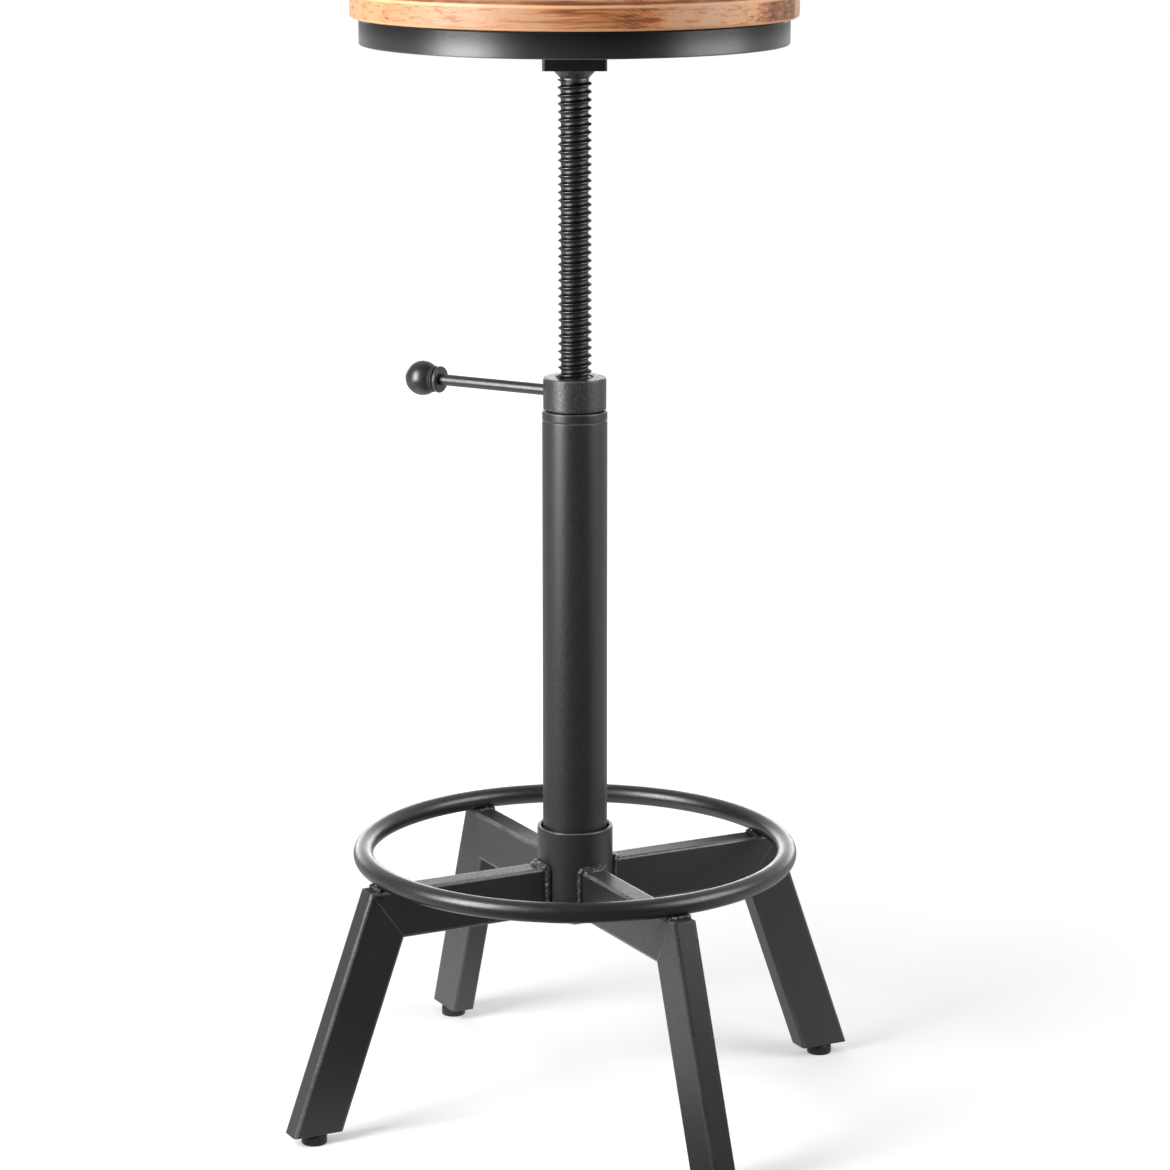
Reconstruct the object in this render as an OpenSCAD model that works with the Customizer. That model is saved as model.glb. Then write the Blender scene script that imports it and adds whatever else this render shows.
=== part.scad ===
// Bar stool with a round wooden seat on a lead screw, a lever-locked post, four raked legs and a foot ring.
// Millimetres. +Z is up, the origin is on the floor under the post, and the legs lie along X and Y.

/* [Seat] */
// Diameter of the wooden seat
seat_d = 305; // [270:1:380]
// Thickness of the seat boards
board_t = 20; // [14:0.5:30]
// Width of one glued board
board_w = 65; // [50:1:80]
// Rounding of the seat's top and bottom edges
board_round = 2.5; // [1:0.5:5]
// Turn of the boards against the square block, degrees
grain_turn = -3; // [-45:1:45]

/* [Seat pan] */
// How far the steel rim stands inside the seat's edge
pan_inset = 6; // [2:0.5:15]
// Height of the rim
rim_h = 18; // [10:0.5:30]
// Thickness of the rim strip
rim_t = 2; // [1.5:0.5:4]
// Thickness of the pan's plate
plate_t = 2; // [1.5:0.5:4]
// Circle that the seat screws stand on
seat_screw_pcd = 220; // [180:1:230]
// Shank diameter of a seat screw
seat_screw_d = 5; // [3:0.5:6]
// Depth of a seat screw in the wood
seat_screw_depth = 14; // [8:0.5:14]
// Head diameter of a seat screw
seat_screw_head_d = 10; // [7:0.5:12]
// Head height of a seat screw
seat_screw_head_h = 3; // [2:0.5:4]

/* [Head block] */
// Width of the square block under the pan
block_w = 44; // [36:1:60]
// How far the block reaches below the rim
block_drop = 17.5; // [10:0.5:30]
// Wall of the block's square tube
block_wall = 3; // [2:0.5:5]
// Thickness of the plate that closes the block
block_plate_t = 4; // [3:0.5:6]
// Turn of the seat and its block in the stored pose, degrees
seat_yaw = -27; // [-45:1:45]
// Size of the weld round the screw under the block
neck_weld = 3.5; // [2:0.5:5]

/* [Lead screw] */
// Diameter over the thread crests
screw_d = 23; // [20:0.5:26]
// Diameter at the thread roots
screw_root_d = 18.2; // [16:0.1:19]
// Pitch of the single-start, right-hand thread
screw_pitch = 5.5; // [4.5:0.1:6.5]
// Axial width of a crest
crest_flat = 0.9; // [0.5:0.1:1.5]
// Axial width of a root
root_flat = 1.2; // [0.5:0.1:1.8]
// Diameter of the plain neck under the block
neck_d = 20; // [18.5:0.5:24]
// Length of the plain neck below the block
neck_l = 5; // [4.5:0.5:10]
// Turns that the seat still rises from the stored pose
turns_up = 2; // [1:1:6]
// Turns that the seat goes down from the stored pose
turns_down = 37; // [20:1:38]
// Gap between the locking collar and the block in the lowest pose
low_gap = 8.5; // [8:0.5:20]

/* [Guide at the foot of the screw] */
// Height of the plastic guide
guide_h = 18; // [12:1:30]
// Diameter of the shoulder that the guide turns on
shoulder_d = 12; // [10:0.5:14]
// Head diameter of the shoulder bolt
shoulder_head_d = 20; // [17:0.5:24]
// Head height of the shoulder bolt
shoulder_head_h = 6; // [4:0.5:8]
// Diameter of the washer under the guide
guide_washer_d = 28; // [25:1:34]
// Thickness of that washer
guide_washer_t = 1.5; // [1:0.5:3]
// Diameter of the bolt's tip in the screw's end
shoulder_tip_d = 8; // [6:0.5:9]
// Length of the bolt's tip in the screw's end
shoulder_tip_l = 15; // [10:1:20]

/* [Locking collar] */
// Outer diameter of the collar
collar_d = 44; // [40:0.5:50]
// Height of the collar
collar_h = 22; // [18:0.5:30]
// Diameter of the washer between collar and post
lock_washer_d = 40; // [34:0.5:42]
// Thickness of that washer
lock_washer_t = 0.8; // [0.5:0.1:2]
// Height that the collar stands loosened in the stored pose
lock_lift = 0.35; // [0.35:0.05:1]

/* [Lock lever] */
// Diameter of the lever rod
lever_d = 8; // [6:0.5:10]
// Distance from the post's axis to the ball's centre
lever_reach = 125.5; // [80:0.5:150]
// Direction of the lever in the stored pose, degrees from +X
lever_yaw = 122; // [0:1:359]
// Metal left between the rod's hole and the collar's bore
lever_floor = 2.2; // [1:0.1:4]
// Diameter of the ball
ball_d = 24.2; // [18:0.1:32]
// Diameter of the ball's flange
flange_d = 18.5; // [14:0.5:22]
// Thickness of the ball's flange
flange_t = 3.2; // [2.4:0.2:5]
// Diameter of the neck between ball and flange
knob_neck_d = 14.5; // [12:0.5:16]
// Distance from the ball's centre to the end of the flange
knob_l = 16; // [14:0.5:22]
// Depth of the rod past the ball's centre plane, towards the collar side
rod_stop = 2; // [0:0.5:6]

/* [Post] */
// Outer diameter of the column tube
column_d = 45.5; // [42:0.5:50]
// Wall of the column tube
column_wall = 2; // [1.5:0.1:3]
// Height of the post's top above the floor
post_top = 502.3; // [460:1:560]
// Height of the nut's flange on top of the tube
nut_flange_h = 6.5; // [4:0.5:10]
// Height of the nut's barrel inside the tube
nut_barrel_h = 36; // [25:1:50]
// Height of the threaded plug in the foot of the tube
column_plug_h = 22; // [15:1:40]

/* [Sleeve and base bolt] */
// Gap all round between the column and the welded sleeve
sleeve_gap = 1.5; // [0.5:0.1:3]
// Wall of the sleeve
sleeve_wall = 2.5; // [2:0.25:3]
// Height of the sleeve above the arms
sleeve_rise = 27; // [10:1:60]
// Thickness of the plate in the foot of the sleeve
base_plate_t = 6; // [4:0.5:10]
// Diameter of the bolt that holds the post down
base_bolt_d = 12; // [10:1:14]
// Width across the bolt's head
base_bolt_af = 19; // [17:1:22]
// Height of the bolt's head
base_bolt_head_h = 7.5; // [5:0.5:9]
// Diameter of the bolt's washer
base_washer_d = 30; // [24:1:36]
// Thickness of the bolt's washer
base_washer_t = 2.5; // [1.5:0.5:4]

/* [Arms and legs] */
// Height of the arms' top faces above the floor
arm_top = 177; // [140:1:220]
// Depth of the rectangular tube, seen from the side
bar_h = 35; // [28:0.5:42]
// Width of the rectangular tube
bar_w = 17.5; // [16:0.5:25]
// Wall of the rectangular tube
bar_wall = 1.6; // [1.2:0.1:2.5]
// Rounding of the tube's long edges
bar_round = 2; // [1.6:0.1:3]
// Distance from the axis to the outer top corner of an arm
corner_r = 162.5; // [160:0.5:200]
// Lean of a leg from the vertical, degrees
leg_lean = 19.8; // [12:0.1:26]
// Height of the plate in the end of a leg
leg_end_h = 6; // [4:0.5:12]

/* [Foot ring] */
// How far the middle of the ring's tube lies inside the arms' outer corners
ring_inset = 12; // [10:0.5:30]
// Diameter of the ring's tube
ring_tube_d = 14; // [12:0.5:20]
// Wall of the ring's tube
ring_wall = 1.5; // [1:0.1:2.5]
// Height of the ring above the arms
ring_lift = 1; // [0.5:0.5:3]
// Length of a weld pad along the ring
pad_l = 13; // [8:0.5:16]
// Width of a weld pad across the ring
pad_w = 10; // [8:0.5:12]
// Height of a weld pad
pad_h = 2.5; // [1.5:0.25:4]

/* [Levelling feet] */
// Diameter of a foot
foot_d = 18; // [14:0.5:24]
// Height of a foot
foot_h = 7.7; // [6:0.1:14]
// Gap between foot and leg with the foot screwed right in
foot_gap = 0.3; // [0.3:0.1:1]
// Diameter of a foot's stud
stud_d = 8; // [6:0.5:10]
// Length of a foot's stud
stud_l = 26; // [24:1:32]

/* [Hidden] */
// Fineness of the round shapes
$fn = 96;

// Clearances
running_gap = 0.05;
guide_gap = 0.1;
thread_gap = 0.35;
stop_gap = 0.5;
axial_gap = 0.3;
bolt_gap = 0.5;
plug_gap = 0.05;
tip_relief = 1;

// How far a cut reaches past the face that it opens
cut = 1;

// Small edge breaks and weld sizes
edge_break = 0.8;
fine_break = 0.4;
arm_weld = 4;
foot_chamfer = 1;
foot_floor = 2.2;

// Heights of the base, from the floor up
leg_foot_z = foot_h + foot_gap;
arm_bottom = arm_top - bar_h;
arm_mid = arm_top - bar_h / 2;
plate_top = arm_bottom + base_plate_t;
sleeve_top = arm_top + sleeve_rise;
ring_z = arm_top + ring_lift + ring_tube_d / 2;
ring_r = corner_r - ring_inset;
sleeve_d = column_d + 2 * (sleeve_gap + sleeve_wall);

// Heights of the post's head
tube_top = post_top - nut_flange_h;
nut_bottom = tube_top - nut_barrel_h;
washer_z = post_top + lock_lift;
collar_z = washer_z + lock_washer_t;
collar_top = collar_z + collar_h;

// Heights of the seat in the stored pose
screw_showing = turns_down * screw_pitch + low_gap;
block_bottom = collar_top + screw_showing;
rim_bottom = block_bottom + block_drop;
pan_top = rim_bottom + rim_h;
plate_bottom = pan_top - plate_t;
seat_top = pan_top + board_t;
pan_d = seat_d - 2 * pan_inset;

// The screw runs from the block's plate down to the guide, which stops it under the nut
screw_bottom = nut_bottom - turns_up * screw_pitch - stop_gap;
thread_top = block_bottom - neck_l;
thread_plain = 0.5;
thread_turns = floor((thread_top - screw_bottom - thread_plain) / screw_pitch) - 1;
thread_start = thread_top - (thread_turns + 1) * screw_pitch;
thread_sides = 16;
thread_steps = thread_turns * thread_sides;
flank = (screw_pitch - crest_flat - root_flat) / 2;
screw_top = block_bottom + block_plate_t;
tip_hole_r = (shoulder_tip_d / 2 + guide_gap) / cos(180 / thread_sides);
tip_hole_l = shoulder_tip_l + tip_relief;

// Bores that the screw and the shoulder pass through
thread_bore_d = screw_d + 2 * thread_gap;
lever_start = thread_bore_d / 2 + lever_floor;
guide_d = column_d - 2 * column_wall - 2 * guide_gap;
guide_top = screw_bottom - axial_gap;
guide_bottom = guide_top - guide_h;
head_top = guide_bottom - axial_gap - guide_washer_t;

// The leg's slope sets where its foot stands and how the corner is mitred
leg_outer_r = corner_r + (arm_top - leg_foot_z) * tan(leg_lean);
foot_r = leg_outer_r - bar_h / cos(leg_lean) / 2;
mitre = (90 + leg_lean) / 2;
leg_l = (arm_top + bar_h) / cos(leg_lean);
cut_size = 4 * bar_h;

// Seat boards, counted from the middle one
half_boards = 2;

// Colours
steel_black = "#2f3133";
screw_grey = "#3c3b3a";
bare_steel = "#8c8f92";
zinc = "#b9bcbe";
plastic_black = "#1c1c1d";
nylon = "#e6e2d6";
wood = "#d9a066";
wood_dark = "#b9784a";

// Shared shapes

module rounded(x, y, r) {
    square([x - 2 * r, y], center = true);
    square([x, y - 2 * r], center = true);
    for (sx = [-1, 1], sy = [-1, 1])
        translate([sx * (x / 2 - r), sy * (y / 2 - r)]) circle(r);
}

module ring(outer_d, inner_d, h) {
    difference() {
        cylinder(d = outer_d, h = h);
        translate([0, 0, -cut]) cylinder(d = inner_d, h = h + 2 * cut);
    }
}

module chamfered(d, h, low, high) {
    rotate_extrude()
        polygon([[0, 0], [d / 2 - low, 0], [d / 2, low], [d / 2, h - high], [d / 2 - high, h], [0, h]]);
}

module at_leg(quarter) {
    rotate([0, 0, 90 * quarter]) children();
}

module seated() {
    rotate([0, 0, seat_yaw]) children();
}

// Seat

module seat_disc() {
    r = seat_d / 2;
    translate([0, 0, pan_top]) rotate_extrude() {
        square([r - board_round, board_t]);
        translate([0, board_round]) square([r, board_t - 2 * board_round]);
        for (z = [board_round, board_t - board_round])
            translate([r - board_round, z]) circle(board_round);
    }
}

module at_seat_screws() {
    for (a = [45 : 90 : 315])
        rotate([0, 0, a]) translate([seat_screw_pcd / 2, 0, 0]) children();
}

module board(place) {
    low = place == -half_boards ? -seat_d / 2 - cut : (place - 0.5) * board_w;
    high = place == half_boards ? seat_d / 2 + cut : (place + 0.5) * board_w;
    color(place % 2 == 0 ? wood : wood_dark) seated() rotate([0, 0, grain_turn])
        difference() {
            intersection() {
                seat_disc();
                translate([-seat_d / 2 - cut, low, pan_top - cut])
                    cube([seat_d + 2 * cut, high - low, board_t + 2 * cut]);
            }
            translate([0, 0, pan_top - cut]) at_seat_screws()
                cylinder(d = seat_screw_d, h = seat_screw_depth + cut);
        }
}

module seat_plate() {
    color(steel_black) seated() rotate([0, 0, grain_turn]) difference() {
        translate([0, 0, plate_bottom]) cylinder(d = pan_d - 2 * rim_t, h = plate_t);
        translate([0, 0, plate_bottom - cut]) at_seat_screws()
            cylinder(d = seat_screw_d + bolt_gap, h = plate_t + 2 * cut);
    }
}

module seat_rim() {
    r = pan_d / 2;
    color(steel_black) translate([0, 0, rim_bottom]) rotate_extrude() difference() {
        union() {
            translate([r - rim_t, 0]) square([rim_t, rim_h - edge_break]);
            translate([r - rim_t, 0]) square([rim_t - edge_break, rim_h]);
            translate([r - edge_break, rim_h - edge_break]) circle(edge_break);
        }
        translate([r, 0]) rotate(45) square(fine_break * sqrt(2), center = true);
    }
}

module seat_screws() {
    color(zinc) seated() rotate([0, 0, grain_turn]) at_seat_screws() {
        translate([0, 0, plate_bottom - seat_screw_head_h])
            chamfered(seat_screw_head_d, seat_screw_head_h, edge_break, 0);
        translate([0, 0, plate_bottom - edge_break])
            cylinder(d = seat_screw_d, h = plate_t + edge_break + seat_screw_depth);
    }
}

module seat_block() {
    tube_bottom = block_bottom + block_plate_t;
    color(steel_black) seated() translate([0, 0, tube_bottom])
        linear_extrude(plate_bottom - tube_bottom) difference() {
            rounded(block_w, block_w, bar_round);
            square(block_w - 2 * block_wall, center = true);
        }
}

module block_plate() {
    color(steel_black) seated() difference() {
        translate([0, 0, block_bottom]) linear_extrude(block_plate_t)
            rounded(block_w, block_w, bar_round);
        translate([0, 0, block_bottom - cut])
            cylinder(d = neck_d + 2 * running_gap, h = block_plate_t + 2 * cut);
    }
}

module neck_weld_bead() {
    r = neck_d / 2 + running_gap;
    color(steel_black) rotate_extrude()
        polygon([
            [r, block_bottom], [r, block_bottom - neck_weld - fine_break],
            [r + fine_break, block_bottom - neck_weld - fine_break],
            [r + neck_weld, block_bottom - fine_break], [r + neck_weld, block_bottom]
        ]);
}

// Lead screw: one closed mesh whose thread is a helix of four lines a turn

function helix_point(r, step, rise) =
    let (a = 360 * step / thread_sides)
    [r * cos(a), r * sin(a), thread_start + screw_pitch * step / thread_sides + rise];

function circle_points(r, z) =
    [for (i = [0 : thread_sides - 1]) let (a = 360 * i / thread_sides) [r * cos(a), r * sin(a), z]];

module lead_screw() {
    n = thread_sides;
    m = thread_steps;
    root_r = screw_root_d / 2;
    crest_r = screw_d / 2;
    top_z = thread_top + thread_plain;

    points = concat(
        [for (i = [0 : m + n]) helix_point(root_r, i, 0)],
        [for (i = [0 : m]) helix_point(root_r, i, root_flat)],
        [for (i = [0 : m]) helix_point(crest_r, i, root_flat + flank)],
        [for (i = [0 : m]) helix_point(crest_r, i, root_flat + flank + crest_flat)],
        circle_points(root_r, screw_bottom),
        circle_points(tip_hole_r, screw_bottom),
        circle_points(tip_hole_r, screw_bottom + tip_hole_l),
        circle_points(root_r, top_z),
        circle_points(neck_d / 2, top_z + thread_plain),
        circle_points(neck_d / 2, screw_top),
        [[0, 0, screw_bottom + tip_hole_l], [0, 0, screw_top]]
    );

    // Where each row of points starts in the list
    low = m + n + 1;
    flank_low = low + m + 1;
    flank_high = flank_low + m + 1;
    foot = flank_high + m + 1;
    hole_low = foot + n;
    hole_high = hole_low + n;
    top = hole_high + n;
    neck_low = top + n;
    neck_high = neck_low + n;
    hole_centre = neck_high + n;
    top_centre = hole_centre + 1;

    // The four strips that make one turn of the thread
    strips = [[0, low, 0], [low, flank_low, 0], [flank_low, flank_high, 0], [flank_high, 0, n]];
    thread_faces = [for (i = [0 : m - 1], s = strips)
        let (a = s[0] + i, b = s[1] + s[2] + i)
        each [[a, b, b + 1], [a, b + 1, a + 1]]];

    // Plain bands between two rings of points
    bands = [[top, neck_low], [neck_low, neck_high], [hole_high, hole_low], [hole_low, foot]];
    band_faces = [for (band = bands, i = [0 : n - 1])
        let (j = (i + 1) % n)
        each [[band[0] + i, band[1] + i, band[1] + j], [band[0] + i, band[1] + j, band[0] + j]]];

    // The bands that meet the helix at its two ends, with the seam between them
    foot_faces = [for (i = [0 : n - 2]) each [[foot + i, i, i + 1], [foot + i, i + 1, foot + i + 1]]];
    top_faces = [for (i = [1 : n - 1])
        let (j = (i + 1) % n)
        each [[m + i, top + i, top + j], [m + i, top + j, m + i + 1]]];
    foot_seam = [
        [n - 1, n, low], [n - 1, low, 0], [n - 1, 0, foot], [n - 1, foot, foot + n - 1]
    ];
    top_seam = [
        [m + 1, m, low + m], [m + 1, low + m, m + n], [m + 1, m + n, top], [m + 1, top, top + 1]
    ];
    end_faces = [
        [low, n, flank_high], [low, flank_high, flank_low],
        [flank_low + m, flank_high + m, m + n], [flank_low + m, m + n, low + m]
    ];
    cap_faces = [for (i = [0 : n - 1])
        let (j = (i + 1) % n)
        each [[hole_high + i, hole_high + j, hole_centre], [neck_high + j, neck_high + i, top_centre]]];

    color(screw_grey) polyhedron(
        points = points,
        faces = concat(thread_faces, band_faces, foot_faces, top_faces, foot_seam, top_seam, end_faces, cap_faces),
        convexity = 10
    );
}

// Guide at the foot of the screw

module shoulder_bolt() {
    color(zinc) {
        translate([0, 0, head_top]) cylinder(d = shoulder_d, h = screw_bottom - head_top);
        translate([0, 0, screw_bottom - cut]) cylinder(d = shoulder_tip_d, h = shoulder_tip_l + cut);
        translate([0, 0, head_top - shoulder_head_h])
            chamfered(shoulder_head_d, shoulder_head_h, edge_break, 0);
    }
}

module guide_washer() {
    color(zinc) translate([0, 0, head_top])
        ring(guide_washer_d, shoulder_d + 2 * running_gap, guide_washer_t);
}

module screw_guide() {
    color(nylon) translate([0, 0, guide_bottom]) difference() {
        chamfered(guide_d, guide_h, edge_break, edge_break);
        translate([0, 0, -cut]) cylinder(d = shoulder_d + 2 * running_gap, h = guide_h + 2 * cut);
    }
}

// Locking collar, its washer and lever

module lock_washer() {
    color(bare_steel) translate([0, 0, washer_z]) ring(lock_washer_d, thread_bore_d + 2 * bolt_gap, lock_washer_t);
}

module at_lever() {
    rotate([0, 0, lever_yaw]) translate([0, 0, collar_z + collar_h / 2]) rotate([0, 90, 0]) children();
}

module lock_collar() {
    countersink = 2 * edge_break;
    color(steel_black) difference() {
        translate([0, 0, collar_z]) chamfered(collar_d, collar_h, fine_break, edge_break);
        translate([0, 0, collar_z - cut]) cylinder(d = thread_bore_d, h = collar_h + 2 * cut);
        translate([0, 0, collar_top - countersink])
            cylinder(d1 = thread_bore_d, d2 = thread_bore_d + 2 * (countersink + cut), h = countersink + cut);
        at_lever() translate([0, 0, lever_start]) cylinder(d = lever_d, h = collar_d);
    }
}

module lock_lever() {
    color(steel_black) at_lever() translate([0, 0, lever_start])
        cylinder(d = lever_d, h = lever_reach - rod_stop - lever_start);
}

module ball_knob() {
    half = flange_t / 2;
    color(steel_black) at_lever() translate([0, 0, lever_reach]) rotate([180, 0, 0]) difference() {
        union() {
            sphere(d = ball_d);
            cylinder(d = knob_neck_d, h = knob_l - half);
            translate([0, 0, knob_l - flange_t]) cylinder(d = flange_d - flange_t, h = flange_t);
            translate([0, 0, knob_l - half]) rotate_extrude()
                translate([flange_d / 2 - half, 0]) circle(half);
        }
        translate([0, 0, rod_stop]) cylinder(d = lever_d, h = knob_l);
    }
}

// Post

module column_nut() {
    color(steel_black) difference() {
        union() {
            translate([0, 0, tube_top]) chamfered(column_d, nut_flange_h, fine_break, edge_break);
            translate([0, 0, nut_bottom])
                cylinder(d = column_d - 2 * column_wall - 2 * plug_gap, h = nut_barrel_h + fine_break);
        }
        translate([0, 0, nut_bottom - cut])
            cylinder(d = thread_bore_d, h = nut_barrel_h + nut_flange_h + 2 * cut);
    }
}

module column_tube() {
    color(steel_black) translate([0, 0, plate_top]) difference() {
        chamfered(column_d, tube_top - plate_top, 0, fine_break);
        translate([0, 0, -cut])
            cylinder(d = column_d - 2 * column_wall, h = tube_top - plate_top + 2 * cut);
    }
}

module column_plug() {
    color(bare_steel) translate([0, 0, plate_top])
        ring(column_d - 2 * column_wall - 2 * plug_gap, base_bolt_d, column_plug_h);
}

// Sleeve and base bolt

module base_sleeve() {
    color(steel_black) translate([0, 0, arm_bottom]) difference() {
        chamfered(sleeve_d, sleeve_top - arm_bottom, 0, fine_break);
        translate([0, 0, -cut])
            cylinder(d = sleeve_d - 2 * sleeve_wall, h = sleeve_top - arm_bottom + 2 * cut);
    }
}

module base_plate() {
    color(steel_black) translate([0, 0, arm_bottom])
        ring(sleeve_d - 2 * sleeve_wall - 2 * plug_gap, base_bolt_d + 2 * bolt_gap, base_plate_t);
}

module base_washer() {
    color(zinc) translate([0, 0, arm_bottom - base_washer_t])
        ring(base_washer_d, base_bolt_d + bolt_gap, base_washer_t);
}

module base_bolt() {
    under_head = arm_bottom - base_washer_t;
    color(zinc) {
        translate([0, 0, under_head - fine_break])
            cylinder(d = base_bolt_d, h = plate_top + column_plug_h - under_head + fine_break);
        translate([0, 0, under_head - base_bolt_head_h])
            cylinder(d = base_bolt_af / cos(30), h = base_bolt_head_h, $fn = 6);
    }
}

// Arms and legs

module bar_section() {
    difference() {
        rounded(bar_h, bar_w, bar_round);
        rounded(bar_h - 2 * bar_wall, bar_w - 2 * bar_wall, bar_round - bar_wall + fine_break);
    }
}

module at_corner() {
    translate([corner_r, 0, arm_top]) children();
}

module mitre_half(side) {
    at_corner() rotate([0, -mitre, 0])
        translate([-cut_size, -cut_size / 2, side > 0 ? 0 : -cut_size]) cube([2 * cut_size, cut_size, cut_size]);
}

module arm(quarter) {
    color(steel_black) at_leg(quarter) difference() {
        translate([0, 0, arm_mid]) rotate([0, 90, 0]) linear_extrude(corner_r + bar_h) bar_section();
        cylinder(d = sleeve_d, h = arm_top + cut);
        mitre_half(-1);
    }
}

module along_leg() {
    at_corner() rotate([0, -leg_lean, 0]) translate([-bar_h / 2, 0, -leg_l])
        linear_extrude(leg_l + bar_h) children();
}

module leg(quarter) {
    color(steel_black) at_leg(quarter) difference() {
        along_leg() bar_section();
        mitre_half(1);
        translate([0, -cut_size / 2, leg_foot_z - cut_size]) cube([3 * corner_r, cut_size, cut_size]);
    }
}

module leg_end(quarter) {
    inset = 2 * (bar_wall + plug_gap);
    color(steel_black) at_leg(quarter) difference() {
        intersection() {
            along_leg() rounded(bar_h - inset, bar_w - inset, bar_round - bar_wall + fine_break);
            translate([0, -bar_w, leg_foot_z]) cube([3 * corner_r, 2 * bar_w, leg_end_h]);
        }
        translate([foot_r, 0, 0]) cylinder(d = stud_d + 2 * running_gap, h = arm_bottom);
    }
}

// Foot ring and welds

module foot_ring() {
    color(steel_black) translate([0, 0, ring_z]) rotate_extrude() translate([ring_r, 0]) difference() {
        circle(d = ring_tube_d);
        circle(d = ring_tube_d - 2 * ring_wall);
    }
}

module ring_pads() {
    sweep = pad_l / ring_r * 180 / PI;
    pad_top = arm_top + pad_h;
    color(steel_black) for (quarter = [0 : 3]) at_leg(quarter) rotate([0, 0, -sweep / 2])
        rotate_extrude(angle = sweep) difference() {
            polygon([
                [ring_r - pad_w / 2, arm_top], [ring_r + pad_w / 2, arm_top],
                [ring_r + pad_w / 2 - fine_break, pad_top], [ring_r - pad_w / 2 + fine_break, pad_top]
            ]);
            translate([ring_r, ring_z]) circle(d = ring_tube_d);
        }
}

module arm_welds() {
    r = sleeve_d / 2;
    half_turn = asin((bar_w / 2 + arm_weld / 2) / r);
    bead_y = bar_w / 2 + arm_weld;
    foot_x = sqrt(r * r - bar_w * bar_w / 4);
    bead_x = sqrt(r * r - bead_y * bead_y);
    color(steel_black) for (quarter = [0 : 3]) at_leg(quarter) {
        rotate([0, 0, -half_turn]) rotate_extrude(angle = 2 * half_turn)
            polygon([[r, arm_top], [r + arm_weld, arm_top], [r, arm_top + arm_weld]]);
        for (side = [0, 1]) mirror([0, side, 0]) translate([0, 0, arm_bottom + edge_break])
            linear_extrude(bar_h - edge_break - fine_break) difference() {
                polygon([
                    [foot_x - arm_weld, bar_w / 2], [foot_x + arm_weld, bar_w / 2],
                    [bead_x - edge_break, bead_y]
                ]);
                circle(r);
            }
    }
}

// Levelling feet

module foot_stud(quarter) {
    color(zinc) at_leg(quarter) translate([foot_r, 0, foot_floor + axial_gap])
        chamfered(stud_d, stud_l, 0, edge_break);
}

module foot(quarter) {
    color(plastic_black) at_leg(quarter) translate([foot_r, 0, 0]) difference() {
        chamfered(foot_d, foot_h, foot_chamfer, fine_break);
        translate([0, 0, foot_floor]) cylinder(d = stud_d + 2 * running_gap, h = foot_h);
    }
}

board(-2);  // board_front
board(-1);  // board_front_mid
board(0);  // board_middle
board(1);  // board_back_mid
board(2);  // board_back
seat_plate();
seat_rim();
seat_screws();
seat_block();
block_plate();
neck_weld_bead();
lead_screw();
shoulder_bolt();
guide_washer();
screw_guide();
lock_washer();
lock_collar();
lock_lever();
ball_knob();
column_nut();
column_tube();
column_plug();
base_sleeve();
base_plate();
base_washer();
base_bolt();
arm(0);  // arm_right
arm(1);  // arm_back
arm(2);  // arm_left
arm(3);  // arm_front
leg(0);  // leg_right
leg(1);  // leg_back
leg(2);  // leg_left
leg(3);  // leg_front
leg_end(0);  // leg_end_right
leg_end(1);  // leg_end_back
leg_end(2);  // leg_end_left
leg_end(3);  // leg_end_front
foot_stud(0);  // foot_stud_right
foot_stud(1);  // foot_stud_back
foot_stud(2);  // foot_stud_left
foot_stud(3);  // foot_stud_front
foot(0);  // foot_right
foot(1);  // foot_back
foot(2);  // foot_left
foot(3);  // foot_front
foot_ring();
ring_pads();
arm_welds();
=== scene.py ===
# %% [markdown]
# # A bar stool with a lead screw, dressed in Blender
# A real stool of this kind is a round wooden seat on a steel pan. The pan turns on a coarse
# screw, a collar with a ball lever locks it, and four raked legs and a foot ring carry the post.
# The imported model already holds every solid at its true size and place, so it is loaded first
# and never moved. Each piece made below goes over the solid that it stands for, in metres.

# %% Load the stool's solids
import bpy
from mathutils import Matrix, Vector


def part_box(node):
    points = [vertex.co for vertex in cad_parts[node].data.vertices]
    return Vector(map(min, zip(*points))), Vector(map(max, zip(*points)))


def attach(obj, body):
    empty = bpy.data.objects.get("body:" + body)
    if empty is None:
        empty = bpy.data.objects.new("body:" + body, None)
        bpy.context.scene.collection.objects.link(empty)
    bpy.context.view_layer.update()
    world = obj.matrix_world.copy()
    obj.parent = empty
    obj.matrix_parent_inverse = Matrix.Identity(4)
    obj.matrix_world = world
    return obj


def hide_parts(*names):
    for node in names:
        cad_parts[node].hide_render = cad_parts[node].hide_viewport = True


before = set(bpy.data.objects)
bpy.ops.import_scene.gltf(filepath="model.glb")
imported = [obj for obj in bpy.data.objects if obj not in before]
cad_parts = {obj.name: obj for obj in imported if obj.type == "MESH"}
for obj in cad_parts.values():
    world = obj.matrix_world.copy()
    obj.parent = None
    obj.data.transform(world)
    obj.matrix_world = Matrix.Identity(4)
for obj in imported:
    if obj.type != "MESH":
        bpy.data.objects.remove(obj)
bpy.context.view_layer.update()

# %% [markdown]
# Millimetres are the workshop's unit and metres are Blender's, so one helper turns a list of
# millimetres into a vector in metres. The heights below come from the solids themselves, read
# from their boxes, so a changed solid carries its finer piece with it.

# %% Units and the heights that the pieces share
from math import atan2, cos, degrees, hypot, pi, radians, sin, sqrt, tan
import random
import bpy
import bmesh
from mathutils import Vector

MM = 0.001


def mm(*numbers):
    return Vector([number * MM for number in numbers])


def span(node, axis=2):
    """The lowest and highest millimetre of a solid along an axis."""
    low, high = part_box(node)
    return low[axis] / MM, high[axis] / MM


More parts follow.
